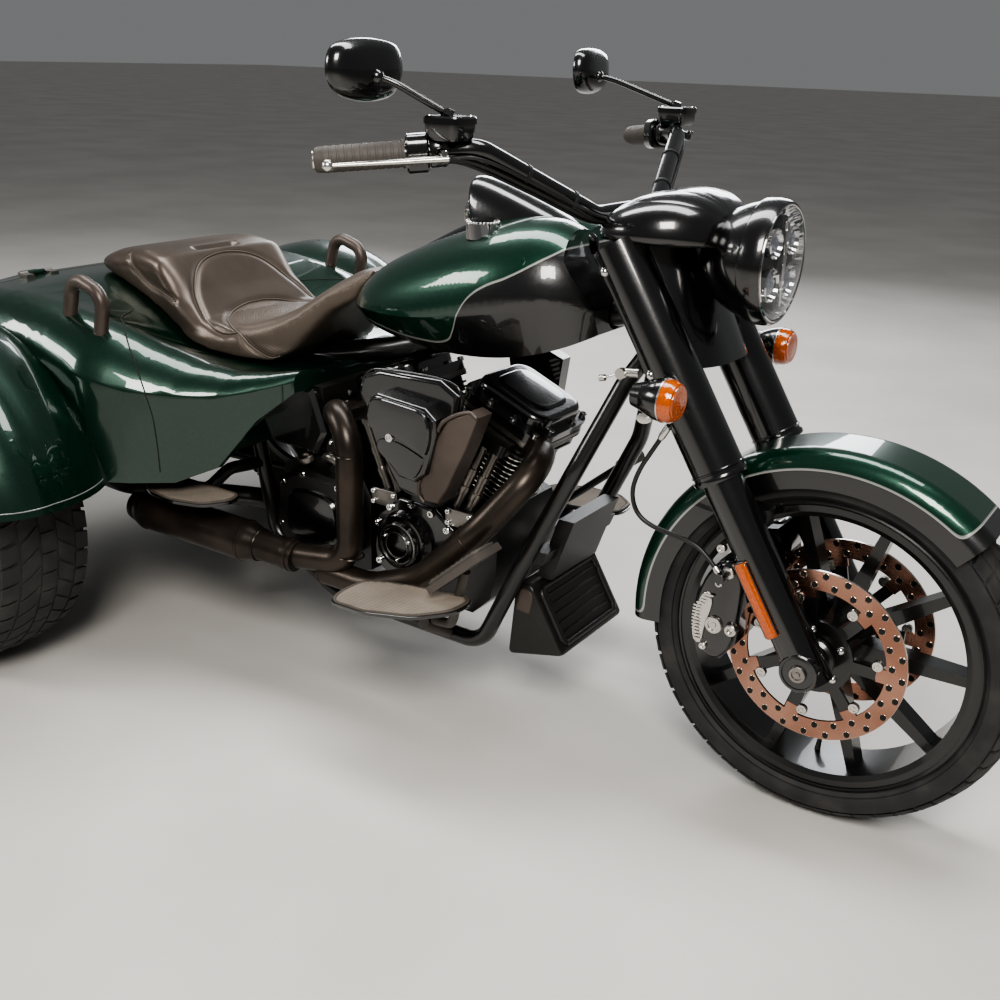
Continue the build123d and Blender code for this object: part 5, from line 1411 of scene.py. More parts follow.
class TRIKE_OT_engine(bpy.types.Operator):
    """Edge the fins, band the rocker covers and bolt the engine's covers"""

    bl_idname = "trike.engine"
    bl_label = "Engine"

    def execute(self, context):
        for name, lean in CYLINDERS:
            self.cylinder(name, lean)
        for index, (lean, shift) in enumerate(PUSHRODS):
            low, high = barrel(lean, 0.170, shift * 0.9, -0.113), barrel(lean, 0.332, shift, -0.113)
            reach = (high - low).length
            profile = [
                (0.035, 0), (0.035, 0.0108), (0.050, 0.0125), (0.056, 0.0112), (0.056, 0.0098),
                (reach * 0.52, 0.0098), (reach * 0.52, 0.0118), (reach * 0.60, 0.0118),
                (reach * 0.60, 0.0094),
                (reach * 0.90, 0.0094), (reach * 0.90, 0.0125), (reach * 0.985, 0.0125), (reach * 0.985, 0),
            ]
            turned(f"pushrod_tube_{index}", profile, low, high - low, "tube", "chassis", 28, 30)
        for name, lean in CYLINDERS:
            spot = barrel(lean, 0.194, 0.018 if lean > 0 else -0.018)
            spot = Vector((spot.x, -0.1335, spot.z - 0.03))
            plate = slab_skin(round_rect(0.064, 0.034, 0.008), RIGHT, 0.0032, AHEAD, UP, spot)
            shaped(f"lifter_plate_{name}", *plate, "steel", "chassis", edge=0.0012)
            corners = [spot + Vector((u, -0.0025, v)) for u in (-0.025, 0.025) for v in (-0.011, 0.011)]
            fasteners(f"lifter_bolts_{name}", "socket", [(p, RIGHT, 0.0052) for p in corners], "chrome",
                "chassis")
        self.right_covers()
        self.left_covers()
        return {"FINISHED"}

    def cylinder(self, name, lean):
        """Bright fin edges, and the bands, bolts and crown of the rocker cover."""
        up, fore = barrel_axes(lean)
        pitch = (FIN_TOP - FIN_BASE) / FIN_COUNT
        fins = []
        for k in range(0 if name == "front" else 5, FIN_COUNT):  # the rear one's start at its sixth fin
            level = FIN_BASE + pitch * k
            fins.append(barrel_band(lean, level + 0.0006, level + 0.0029, *FIN_BLOCK, 0.0005))
        several(f"fin_edges_{name}", fins, "cut", "chassis", sharp=30)

        def band(low, high, thick):
            return barrel_band(lean, ROCKER_BASE + low, ROCKER_BASE + high, *ROCKER_BLOCK, thick)

        shaped(f"rocker_band_{name}", *band(0.003, 0.0115, 0.0011), "tube", "chassis", sharp=30)
        lips = [band(0.0275, 0.0305, 0.0016), band(0.0005, 0.0022, 0.0016)]
        several(f"rocker_lip_{name}", lips, "black", "chassis", sharp=30)
        bolts = []
        for alongs, reach, size in (((-0.080, -0.028, 0.028, 0.080), 0.0855, 0.0068),
            ((-0.086, 0.086), 0.04, 0.0062)):
            for along in alongs:
                for side in (-reach, reach):
                    bolts.append((barrel(lean, ROCKER_BASE + 0.030, along, side), up, size))
        fasteners(f"rocker_bolts_{name}", "socket", bolts, "chrome", "chassis")
        outline = smooth_outline(round_rect(0.118, 0.108, 0.03, 3), 40)
        rows = ((1.0, 0.0585), (1.0, 0.0615), (0.94, 0.0645), (0.9, 0.065))
        crest = stacked(outline, rows, barrel(lean, ROCKER_BASE), fore, ACROSS, up)
        shaped(f"rocker_crown_{name}", *crest, "black", "chassis", sharp=30)

    def right_covers(self):
        """The round cam cover with its rings, the gearbox's plate, the starter's end and the plugs."""
        turned("cam_ring_outer", [
            (0, 0.0405), (0, 0.043), (0.0022, 0.0425), (0.0022, 0.041), (0, 0.0405),
        ], CAM, RIGHT, "cut", "chassis", 64)
        turned("cam_cap", [
            (-0.002, 0.0), (-0.002, 0.040), (0.0015, 0.0395), (0.0025, 0.037), (0.0012, 0.0355),
            (0.0012, 0.027),
            (0.0026, 0.0255), (0.0034, 0.0225), (0.0036, 0.0),
        ], CAM, RIGHT, "black", "chassis", 64)
        turned("cam_ring_inner", [
            (0, 0.0252), (0, 0.0268), (0.0035, 0.0266), (0.0038, 0.0256), (0, 0.0252),
        ], CAM - RIGHT * 0.0002, RIGHT, "cut", "chassis", 64)
        screws = bolt_ring(CAM + RIGHT * 0.0005, 0.0315, (25, 155, 270), RIGHT, 0.0036)
        fasteners("cam_cap_screws", "socket", screws, "chrome", "chassis")
        bolts = [(Vector((x, -0.1385, z)), RIGHT, 0.0075) for x, z in CAM_COVER_BOLTS]
        fasteners("cam_cover_bolts", "socket", bolts, "chrome", "chassis")
        bolts = [(Vector((x, -0.165, z)), RIGHT, 0.0078) for x, z in GEARBOX_EDGE]
        fasteners("gearbox_bolts", "socket", bolts, "chrome", "chassis")
        plan = smooth_outline([(x * 0.74 - 0.006, 0.335 + (z - 0.335) * 0.66) for x, z in GEARBOX_EDGE], 44)
        rows = ((1.0, 0.0), (1.0, 0.006), (0.93, 0.0115), (0.8, 0.013))
        plate = stacked(plan, rows, RIGHT * 0.170, AHEAD, UP, RIGHT, (-0.018, 0.336))
        shaped("gearbox_plate", *plate, "black", "chassis", sharp=30)
        turned("starter_end", [
            (0, 0.0), (0, 0.036), (0.006, 0.036), (0.010, 0.032), (0.0105, 0.018), (0.014, 0.016),
            (0.0145, 0),
        ], STARTER, RIGHT, "wrinkle", "chassis", 48)
        bolts = bolt_ring(STARTER + RIGHT * 0.008, 0.026, (20, 140, 260), RIGHT, 0.0055)
        fasteners("starter_bolts", "socket", bolts, "chrome", "chassis")
        elbow = [(0.006, -0.150, 0.455), (0.014, -0.166, 0.470), (0.034, -0.172, 0.474),
            (0.056, -0.166, 0.462)]
        tube("vent_elbow", elbow, 0.0105, "tube", "chassis", 20, 16)
        turned("filler_plug", [
            (0, 0), (0, 0.021), (0.008, 0.021), (0.012, 0.0185), (0.0125, 0.009), (0.017, 0.008), (0.0175, 0),
        ], (-0.050, -0.150, 0.452), (-0.15, -0.5, 0.85), "tube", "chassis", 32)

    def left_covers(self):
        """The bolts and round covers of the primary chaincase."""
        bolts = []
        for turn in range(100, 424, 27):
            middle, reach = (STATOR, 0.084) if math.cos(math.radians(turn)) > 0 else (CLUTCH, 0.088)
            bolts += bolt_ring(Vector((middle.x, 0.1785, middle.z)), reach, [turn], ACROSS, 0.0072)
        fasteners("primary_bolts", "socket", bolts, "chrome", "chassis")
        turned("clutch_cover", [
            (0, 0.0), (0, 0.066), (0.004, 0.0655), (0.0065, 0.062), (0.005, 0.058), (0.005, 0.0),
        ], CLUTCH, ACROSS, "black", "chassis", 64)
        turned("stator_cover", [
            (0, 0.0), (0, 0.058), (0.004, 0.0575), (0.006, 0.054), (0.0045, 0.050), (0.0045, 0.0),
        ], STATOR, ACROSS, "black", "chassis", 64)
        screws = bolt_ring(CLUTCH + ACROSS * 0.004, 0.0525, range(30, 390, 60), ACROSS, 0.0045)
        fasteners("clutch_screws", "socket", screws, "chrome", "chassis")


CLEANER_PANELS = (  # piece, places on its outline, middle, (scale, level) rows, x and z of the outline
    ("cleaner_panel", 72, (0.268, 0.610),
        ((1.0, 0.249), (1.0, 0.2535), (0.975, 0.2575), (0.93, 0.2595), (0.6, 0.2605)), (
        (0.196, 0.600), (0.199, 0.638), (0.218, 0.650), (0.268, 0.648), (0.318, 0.642), (0.334, 0.626),
        (0.337, 0.602), (0.330, 0.571), (0.318, 0.566), (0.262, 0.586), (0.214, 0.590),
    )),
    ("cleaner_step", 60, (0.270, 0.546), ((1.0, 0.2495), (1.0, 0.2522), (0.96, 0.2545), (0.6, 0.255)), (
        (0.218, 0.553), (0.256, 0.528), (0.296, 0.516), (0.311, 0.528), (0.321, 0.551), (0.316, 0.560),
        (0.262, 0.576), (0.222, 0.574),
    )),
)
CLEANER_SEAM = (  # x, z
    (0.138, 0.636), (0.150, 0.672), (0.190, 0.688), (0.326, 0.692), (0.366, 0.670), (0.354, 0.600),
    (0.332, 0.520), (0.320, 0.486), (0.285, 0.464), (0.234, 0.468), (0.196, 0.520), (0.172, 0.588),
    (0.150, 0.618),
)
WEDGE_EDGE = (  # x, z
    (0.312, 0.470), (0.301, 0.499), (0.338, 0.603), (0.362, 0.635), (0.404, 0.655), (0.423, 0.648),
)


class TRIKE_OT_intake(bpy.types.Operator):
    """Raise the air cleaner's panel, edge its wedge and add the bolt"""

    bl_idname = "trike.intake"
    bl_label = "Air Cleaner"

    def execute(self, context):
        for name, count, middle, rows, outline in CLEANER_PANELS:
            skin = stacked(smooth_outline(outline, count), rows, Vector(), AHEAD, UP, RIGHT, middle)
            shaped(name, *skin, "black", "chassis", sharp=28)
        bolt = (Vector((0.245, -0.2535, 0.581)), RIGHT, 0.0085)
        fasteners("cleaner_bolt", "plug", [bolt], "chrome", "chassis")
        line = []
        for x, z in smooth_outline(CLEANER_SEAM, 90):
            line.append(Vector((0.252 + (x - 0.252) * 0.995, -0.2045, 0.58 + (z - 0.58) * 0.995)))
        shaped("cleaner_seam", *tube_skin(line, 0.0022, 8, closed=True), "black", "chassis", sharp=60)
        edge = smooth_path([(x, -0.2385, z) for x, z in WEDGE_EDGE], 60)
        skin = tube_skin(edge, lambda t: 0.0058 - 0.002 * abs(2 * t - 1), 12, flat=0.8)
        shaped("wedge_edge", *skin, "bronze", "chassis", sharp=60)
        return {"FINISHED"}


MUFFLER_START, MUFFLER_END = Vector((0.008, -0.252, 0.283)), Vector((-0.402, -0.301, 0.308))
MUFFLER_RINGS = (  # distance along the muffler, radius, width
    (0.010, 0.0325, 0.016), (0.088, 0.0335, 0.004), (0.122, 0.0432, 0.006), (0.374, 0.0432, 0.006),
)
PIPE_R = 0.0272
PIPE_SEAMS = (  # place, direction of the pipe
    ((0.131, -0.2335, 0.520), (0, 0, -1)), ((0.132, -0.234, 0.315), (0, 0, -1)),
    ((0.402, -0.2235, 0.418), (-0.69, -0.05, -0.72)), ((0.066, -0.232, 0.262), (-1, 0, 0)),
)


class TRIKE_OT_exhaust(bpy.types.Operator):
    """Ring the pipes with their clamps, seams and end caps"""

    bl_idname = "trike.exhaust"
    bl_label = "Exhaust"

    def execute(self, context):
        for side, tag in SIDES:
            flip = Vector((1, -side, 1))
            start = MUFFLER_START * flip
            way = (MUFFLER_END * flip - start).normalized()
            for index, (along, radius, deep) in enumerate(MUFFLER_RINGS):
                turned(f"muffler_ring_{tag}_{index}", [
                    (0, radius - 0.003), (0, radius), (deep / 2, radius + 0.0009), (deep, radius),
                    (deep, radius - 0.003), (0, radius - 0.003),
                ], start + way * along, way, "exhaust", "chassis", 64)
            turned(f"muffler_tip_{tag}", [
                (0.398, 0.036), (0.414, 0.0318), (0.420, 0.0300), (0.421, 0.0270), (0.414, 0.0250),
                (0.388, 0.0245), (0.388, 0.0), (0.384, 0.0), (0.384, 0.034), (0.398, 0.036),
            ], start, way, "exhaust", "chassis", 64)
        for index, (place, way) in enumerate(PIPE_SEAMS):
            turned(f"pipe_seam_{index}", [
                (0, PIPE_R - 0.003), (0, PIPE_R - 0.0006), (0.0015, PIPE_R + 0.0004),
                (0.003, PIPE_R - 0.0006),
                (0.003, PIPE_R - 0.003), (0, PIPE_R - 0.003),
            ], place, way, "exhaust", "chassis", 48)
        return {"FINISHED"}


# Seat
def merged_copy(node):
    """A frame node's mesh with its loose facets joined."""
    work = bmesh.new()
    work.from_mesh(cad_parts[node].data)
    bmesh.ops.remove_doubles(work, verts=work.verts, dist=2e-5)
    mesh = bpy.data.meshes.new(node + "_copy")
    work.to_mesh(mesh)
    work.free()
    if "custom_normal" in mesh.attributes:
        mesh.attributes.remove(mesh.attributes["custom_normal"])
    return mesh


class SeatSettings(bpy.types.PropertyGroup):
    """How the seat's padding swells"""

    voxel: bpy.props.FloatProperty(
        name="Grain", description="Size of the padding's mesh", default=0.006, unit="LENGTH")
    swell: bpy.props.FloatProperty(
        name="Swell", description="Most that the padding swells", default=0.010, unit="LENGTH")
    pressure: bpy.props.FloatProperty(name="Pressure", description="Pressure inside the cover", default=4.0)
    easing: bpy.props.IntProperty(
        name="Easing", description="Rounds of evening out the cover's creases", default=24)
    shrink: bpy.props.FloatProperty(
        name="Draw in", description="How far the pad starts inside its room", default=0.006, unit="LENGTH")


SEAT_SEAMS = {  # places near the cover on the right side, from the front or the top to the middle or the end
    "bucket": (
        (-0.225, -0.170, 0.690), (-0.262, -0.178, 0.686), (-0.318, -0.160, 0.696), (-0.360, -0.1433, 0.728),
        (-0.389, -0.1198, 0.7585), (-0.410, -0.0906, 0.7836), (-0.422, -0.0526, 0.7987), (-0.428, 0.0, 0.804),
    ),
    "insert": (
        (-0.118, -0.140, 0.622), (-0.1415, -0.154, 0.6367), (-0.170, -0.169, 0.6533),
        (-0.198, -0.179, 0.6754),
        (-0.2314, -0.1645, 0.6919), (-0.290, -0.125, 0.690), (-0.3233, -0.0817, 0.6983),
        (-0.3336, -0.0335, 0.7067),
        (-0.335, 0.0, 0.708),
    ),
    "side": (
        (-0.548, -0.160, 0.808), (-0.538, -0.178, 0.800), (-0.520, -0.185, 0.776), (-0.480, -0.186, 0.748),
        (-0.435, -0.189, 0.7369), (-0.385, -0.193, 0.731),
    ),
}
INSERT_HALF = (  # x, half width of the woven insert
    (-0.335, 0.0), (-0.3336, 0.034), (-0.3233, 0.082), (-0.29, 0.125), (-0.2314, 0.165), (-0.190, 0.182),
    (-0.17, 0.25),
)
GROOVE_DEEP, GROOVE_WIDE = 0.0042, 0.0072  # how the seams draw the cover in
SLOT = Vector((-0.452, 0.0, 0.806))
SLOT_HALF, SLOT_DEEP, SLOT_WIDE = 0.052, 0.009, 0.0075
FIRM_BELOW, SOFT_OVER = 0.640, 0.670  # heights between which the padding begins to swell
STITCH = ((-0.0021, 0), (-0.0018, 0.0005), (0, 0.00062), (0.0018, 0.0005), (0.0021, 0))


class TRIKE_OT_seat(bpy.types.Operator):
    """Pad the seat by cloth simulation, then sew its seams and stitches"""

    bl_idname = "trike.seat"
    bl_label = "Seat"

    def execute(self, context):
        look = context.scene.trike_seat
        mesh = merged_copy("seat")
        pad = bpy.data.objects.new("seat_pad", mesh)
        context.scene.collection.objects.link(pad)
        for kind, settings in (
            ("DISPLACE", {"strength": -look.shrink, "mid_level": 0.0}),
            ("REMESH", {"mode": "VOXEL", "voxel_size": look.voxel}),
            ("SMOOTH", {"factor": 0.5, "iterations": 14}),
        ):
            modifier = pad.modifiers.new(kind.lower(), kind)
            for key, value in settings.items():
                setattr(modifier, key, value)
        depth = context.evaluated_depsgraph_get()
        base = bpy.data.meshes.new_from_object(pad.evaluated_get(depth))
        pad.modifiers.clear()
        pad.data = base
        start = [vertex.co.copy() for vertex in base.vertices]
        cloth = pad.modifiers.new("cloth", "CLOTH")
        cloth.settings.use_pressure = True
        cloth.settings.uniform_pressure_force = look.pressure
        cloth.settings.effector_weights.gravity = 0
        cloth.settings.quality = 4
        cloth.collision_settings.use_collision = False
        cloth.point_cache.frame_start, cloth.point_cache.frame_end = 1, 20
        for step in range(1, 21):
            context.scene.frame_set(step)
        swollen = bpy.data.meshes.new_from_object(pad.evaluated_get(context.evaluated_depsgraph_get()))
        pad.modifiers.clear()
        moves = numpy.array([tuple(other.co - rest) for other, rest in zip(swollen.vertices, start)])
        lengths = numpy.linalg.norm(moves, axis=1, keepdims=True)
        moves *= numpy.minimum(1, look.swell / numpy.maximum(lengths, 1e-9))
        ends = numpy.array([tuple(edge.vertices) for edge in base.edges])
        degree = numpy.bincount(ends.ravel(), minlength=len(start))[:, None]
        for turn in range(look.easing):
            sums = numpy.zeros_like(moves)
            numpy.add.at(sums, ends[:, 0], moves[ends[:, 1]])
            numpy.add.at(sums, ends[:, 1], moves[ends[:, 0]])
            moves = moves * 0.4 + sums / degree * 0.6
        for vertex, move, rest in zip(base.vertices, moves, start):
            soft = min(max((rest.z - FIRM_BELOW) / (SOFT_OVER - FIRM_BELOW), 0), 1)
            vertex.co = rest + Vector(move) * soft
        bpy.data.meshes.remove(swollen)
        context.scene.frame_set(1)
        base.update()

        # The seams draw the cover in, and a slot is sunk where the passenger's pad meets the bucket
        tree = BVHTree.FromPolygons([v.co for v in base.vertices], [p.vertices for p in base.polygons])
        lines = {}
        for name, places in SEAT_SEAMS.items():
            right = [Vector(place) for place in places]
            left = [Vector((x, -y, z)) for x, y, z in places]
            apart = name == "side"
            runs = {name + "_right": right, name + "_left": left} if apart else {name: right + left[-2::-1]}
            for label, run in runs.items():
                lines[label] = [tree.find_nearest(spot)[:2]
                    for spot in smooth_path(run, 90 if apart else 200)]
        grooves = KDTree(sum(len(line) for line in lines.values()))
        for index, (place, facing) in enumerate(spot for line in lines.values() for spot in line):
            grooves.insert(place, index)
        grooves.balance()
        woven = base.attributes.new("woven", "FLOAT", "POINT")
        facings = [vertex.normal.copy() for vertex in base.vertices]
        for vertex, facing in zip(base.vertices, facings):
            spot = vertex.co.copy()
            reach = grooves.find(spot)[2]
            sink = GROOVE_DEEP * math.exp(-(reach / GROOVE_WIDE) ** 2)
            slot = math.hypot(max(abs(spot.y) - SLOT_HALF, 0), spot.x - SLOT.x)
            if spot.z > 0.76:
                sink += SLOT_DEEP * math.exp(-(slot / SLOT_WIDE) ** 4)
            vertex.co = spot - facing * sink
            half = 1.0 if spot.x > -0.17 else 0.0
            for (x0, y0), (x1, y1) in zip(INSERT_HALF, INSERT_HALF[1:]):
                if x0 <= spot.x < x1:
                    half = y0 + (y1 - y0) * (spot.x - x0) / (x1 - x0)
            woven.data[vertex.index].value = min(max((half - abs(spot.y)) / 0.004, 0), 1)
        cover = settled(pad, [("SUBSURF", {"levels": 1, "render_levels": 1})])
        cover.name = "seat_cover"
        cover.shade_smooth()
        seat = own("seat_cover", cover, "leather", "chassis")
        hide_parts("seat")

        tree = BVHTree.FromPolygons([v.co for v in cover.vertices], [p.vertices for p in cover.polygons])
        # A flattened near-black bar lies along the floor of the slot between the pads: painted shade in the
        # recess.
        floor = [tree.ray_cast(Vector((SLOT.x, 0.0045 * k, 1.2)), -UP)[0] for k in range(-10, 11)]
        skin = tube_skin([spot - UP * 0.0016 for spot in floor], 0.0042, 10, flat=0.5)
        shaped("seat_slot", *skin, "void", "chassis", sharp=60)
        for name, line in lines.items():
            welt = [place - normal * 0.0026 for place, normal in line]
            shaped("seat_welt_" + name, *tube_skin(welt, 0.0017, 8), "welt", "chassis", sharp=80)
            for shift, tag in ((0.0052, "outer"), (-0.0052, "inner")):
                places = []
                for k, (place, normal) in enumerate(line):
                    ahead = (line[min(k + 1, len(line) - 1)][0] - line[max(k - 1, 0)][0]).normalized()
                    near, facing = tree.find_nearest(place + ahead.cross(normal).normalized() * shift)[:2]
                    places.append(tuple(near + facing * 0.0002))
                run = bpy.data.meshes.new("stitch_run")
                run.from_pydata(places, [(k, k + 1) for k in range(len(places) - 1)], [])
                stitch = turned_template("stitch", STITCH, 6)
                stitch.data.transform(Matrix.Rotation(math.radians(90), 4, "Y"))
                TREES["line"].run(
                    f"seat_stitches_{name}_{tag}", "thread", "chassis", 60, run, template=stitch,
                    spacing=0.0062,
                )
        return {"FINISHED"}


# Controls, boards and trim
GRIP_END, GRIP_BEND = Vector((0.298, -0.483, 1.073)), Vector((0.478, -0.330, 1.094))
BAR_ROOT = Vector((0.556, -0.105, 0.986))
GRIP_START = ((-0.0045, 0.0), (-0.0045, 0.013), (-0.002, 0.0172), (0.002, 0.0184))
GRIP_RIB = ((0, 0.0186), (0.001, 0.0192), (0.0078, 0.0192), (0.0088, 0.0186))
GRIP_COLLAR = ((0.123, 0.0186), (0.1245, 0.0205), (0.128, 0.0205), (0.128, 0.0))
RIB_COUNT, RIB_STEP = 10, 0.0112
SWITCH_SHELLS = (  # start along the bar, length, width, height, shift forward
    (0.1295, 0.033, 0.054, 0.056, 0.0), (0.1635, 0.026, 0.046, 0.044, 0.004),
)
RESERVOIR_ROWS = (  # share of the outline, height
    (0.84, -0.017), (0.96, -0.010), (1.0, 0.006), (1.05, 0.0062), (1.05, 0.0145), (0.98, 0.017),
)
CLAMP, PERCH = 0.176, 0.174  # how far along the grip the reservoir and the lever stand
CABLES = (  # height over the bar, distance ahead of it, radius, share of the lever's reach at the start
    (-0.020, 0.008, 0.0042, 0.8), (-0.023, -0.004, 0.0036, 0.5), (-0.014, 0.017, 0.003, 0.5),
)
CABLE_ROUTE = (  # place on the right side, share of the cable's own shift
    ((0.470, -0.340, 1.094), 1), ((0.510, -0.238, 1.052), 1), ((0.548, -0.128, 1.004), 1),
    ((0.575, -0.085, 0.988), 0.6),
)


def along_grip(distance, side):
    """A place on a grip's centre line, from the bar's end inwards."""
    spot = GRIP_END + (GRIP_BEND - GRIP_END).normalized() * distance
    return Vector((spot.x, -side * spot.y, spot.z))


class TRIKE_OT_controls(bpy.types.Operator):
    """Rib the grips, shape levers, switch boxes and reservoirs, and run the cables"""

    bl_idname = "trike.controls"
    bl_label = "Hand Controls"

    def execute(self, context):
        for side, tag in SIDES:
            end, axis = along_grip(0, side), (along_grip(0.1, side) - along_grip(0, side)).normalized()
            ribs = [(0.010 + k * RIB_STEP + at, radius) for k in range(RIB_COUNT) for at, radius in GRIP_RIB]
            rows = [*GRIP_START, *ribs, *GRIP_COLLAR]
            grip = turned("grip_" + tag, rows, end, axis, "rubber", "fork", 40, 30)
            turned("bar_end_" + tag, [
                (-0.0075, 0), (-0.0075, 0.010), (-0.006, 0.0132), (-0.003, 0.0138), (-0.003, 0),
            ], end, axis, "cut", "fork", 32)
            box = self.switches(side, tag, axis)
            if tag == "right":
                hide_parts("grips")
                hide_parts("hand_controls")
            self.reservoir(side, tag)
            self.lever(side, tag)
        return {"FINISHED"}

    def switches(self, side, tag, axis):
        """Switch housing and clamp, with buttons."""
        up = (UP - axis * UP.dot(axis)).normalized()
        fore = axis.cross(up)
        if fore.x < 0:
            fore.negate()
        shells = []
        for start, long, wide, tall, shift in SWITCH_SHELLS:
            rows = ((0.90, 0), (1.0, 0.003), (1.0, long - 0.003), (0.90, long))
            origin = along_grip(start, side) + fore * shift
            shells.append(stacked(round_rect(wide, tall, 0.016, 5), rows, origin, fore, up, axis))
        box = several("switch_box_" + tag, shells, "black", "fork", sharp=40)
        buttons = []
        for around, along in ((-0.6, 0.138), (-0.15, 0.138), (-0.6, 0.153), (-0.15, 0.153)):
            face = up * math.sin(around) - fore * math.cos(around)
            buttons.append((along_grip(along, side) + face * 0.0265, face, 0.0048))
        fasteners("switch_buttons_" + tag, "dome", buttons, "plastic", "fork")
        return box

    def reservoir(self, side, tag):
        """Reservoir with a lipped cap, two screws and its neck."""
        clamp = along_grip(CLAMP, side)
        middle = clamp + Vector((0.022, 0, 0.034))
        skin = stacked(round_rect(0.058, 0.062, 0.012, 5), RESERVOIR_ROWS, middle, AHEAD, ACROSS, UP)
        shaped("reservoir_" + tag, *skin, "black", "fork", sharp=30)
        screws = [(middle + Vector((u, v, 0.0165)), UP, 0.0042) for u,
            v in ((-0.021, -0.022), (0.021, 0.022))]
        fasteners("reservoir_screws_" + tag, "plug", screws, "chrome", "fork")
        neck = [middle + Vector((-0.002, 0, -0.016)), clamp + Vector((0.010, 0, 0.010))]
        shaped("reservoir_neck_" + tag, *tube_skin(neck, 0.014, 20), "black", "fork", sharp=40)

    def lever(self, side, tag):
        """A flat tapered blade that bends at its root, with a ball at its tip, and the cables and clips."""
        perch = along_grip(PERCH, side)
        way_out = Vector((0.55, side * 0.45, 0)).normalized()
        out = way_out * 0.050
        pivot, tip = perch + out - UP * 0.006, along_grip(0.008, side) + out - UP * 0.004
        way = (tip - pivot).normalized()
        path = [
            pivot - way * 0.006, pivot + way * 0.02, pivot.lerp(tip, 0.35) + way_out * 0.002,
            pivot.lerp(tip, 0.7), tip,
        ]
        blade = tube_skin(smooth_path(path, 30), lambda t: 0.0092 - 0.0042 * t, 16, flat=0.62)
        shaped("lever_" + tag, *blade, "cut", "fork", sharp=60)
        turned("lever_ball_" + tag, ball(0.0087), tip, way, "cut", "fork", 24)
        arm = smooth_path([perch, perch + out * 0.55, pivot], 12)
        shaped("lever_perch_" + tag, *tube_skin(arm, 0.0095, 18, flat=0.8), "black", "fork", sharp=50)
        fasteners("lever_pin_" + tag, "socket", [(pivot + UP * 0.0062, UP, 0.0058)], "chrome", "fork")
        flip = Vector((1, -side, 1))
        for k, (drop, ahead, size, reach) in enumerate(CABLES):
            shift = Vector((ahead, 0, drop))
            route = [Vector(place) * flip + shift * share for place, share in CABLE_ROUTE]
            start = along_grip(0.168, side) + out * reach - UP * 0.010
            tube(f"bar_cable_{tag}_{k}", [start, *route], size, "hose", "fork", 40, 10)
        high, low = GRIP_BEND * flip, BAR_ROOT * flip
        for k, share in enumerate((0.35, 0.75)):
            turned(f"cable_clip_{tag}_{k}", [
                (0, 0.0145), (0, 0.0166), (0.006, 0.0166), (0.006, 0.0145), (0, 0.0145),
            ], high.lerp(low, share), low - high, "hose", "fork", 28)


MIRRORS = (  # side, tag, place, turn in degrees
    (-1, "right", Vector((0.349, -0.430, 1.197)), -3), (1, "left", Vector((0.270, 0.350, 1.197)), 8),
)
MIRROR_OUTLINE = (  # out from its middle, up
    (-0.073, 0.012), (-0.060, 0.035), (-0.020, 0.0425), (0.030, 0.041), (0.064, 0.030), (0.0745, 0.004),
    (0.066, -0.022), (0.034, -0.038), (-0.012, -0.0425), (-0.052, -0.034), (-0.070, -0.012),
)
MIRROR_SHELL = (  # share of the outline, distance ahead
    (0.95, -0.009), (0.985, -0.0105), (1.0, -0.009), (1.0, -0.003), (0.965, 0.005), (0.86, 0.012),
    (0.66, 0.0165), (0.4, 0.0185), (0.12, 0.019),
)
MIRROR_GLASS = ((0.935, -0.0103), (0.925, -0.0113), (0.88, -0.0116))


class TRIKE_OT_mirrors(bpy.types.Operator):
    """Shape the mirror shells, their glass and the stems"""

    bl_idname = "trike.mirrors"
    bl_label = "Mirrors"

    def execute(self, context):
        for side, tag, place, turn in MIRRORS:
            spin = Matrix.Rotation(math.radians(turn), 3, "Z")
            outline = smooth_outline([(side * u, v) for u, v in MIRROR_OUTLINE], 56)
            axes = (place, spin @ ACROSS, UP, spin @ AHEAD)
            shell = shaped("mirror_shell_" + tag, *stacked(outline, MIRROR_SHELL, *axes), "black", "fork",
                sharp=50)
            if side < 0:
                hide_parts("mirrors")
            glass = stacked(outline, MIRROR_GLASS, *axes)
            shaped("mirror_glass_" + tag, *glass, "mirror", "fork", sharp=40)
            foot = along_grip(CLAMP, side) + Vector((0.022, 0, 0.051))
            knuckle = place + spin @ Vector((0.016, side * -0.004, -0.008))
            bend = foot.lerp(knuckle, 0.8) + Vector((0.006, 0, 0.002))
            stem = tube_skin(smooth_path([foot, foot.lerp(bend, 0.5), bend, knuckle], 24), 0.0052, 14)
            shaped("mirror_stem_" + tag, *stem, "black", "fork", sharp=50)
            turned("mirror_nut_" + tag, [
                (-0.004, 0), (-0.004, 0.0095), (0.008, 0.0095), (0.010, 0.007), (0.014, 0.006), (0.014, 0),
            ], foot, knuckle - foot, "black", "fork", 6)
            turned("mirror_knuckle_" + tag, ball(0.011), knuckle, AHEAD, "black", "fork", 24)
        return {"FINISHED"}


BOARDS = (  # name, height, place of its hinge, tilt in degrees, x and distance out of its outline
    ("rider", 0.290, 0.200, 6, (
        (0.204, 0.286), (0.200, 0.352), (0.216, 0.388), (0.300, 0.398), (0.396, 0.376), (0.448, 0.326),
        (0.452, 0.274), (0.424, 0.256), (0.260, 0.268),
    )),
    ("passenger", 0.376, -0.350, 0, (
        (-0.352, 0.268), (-0.336, 0.330), (-0.296, 0.362), (-0.220, 0.372), (-0.150, 0.350), (-0.118, 0.300),
        (-0.128, 0.264),
    )),
)
BOARD_PAN = ((0.93, 0.0), (0.985, 0.0012), (1.0, 0.004), (1.0, 0.0075), (0.97, 0.0085))  # share, height
BOARD_RIM = ((0.955, 0.008), (0.975, 0.0078), (0.982, 0.0098), (0.972, 0.0118), (0.935, 0.0118),
    (0.925, 0.010))
BOARD_PAD = ((0.945, 0.0075), (0.94, 0.0100), (0.93, 0.0102))
RIB_PITCH = 0.0052
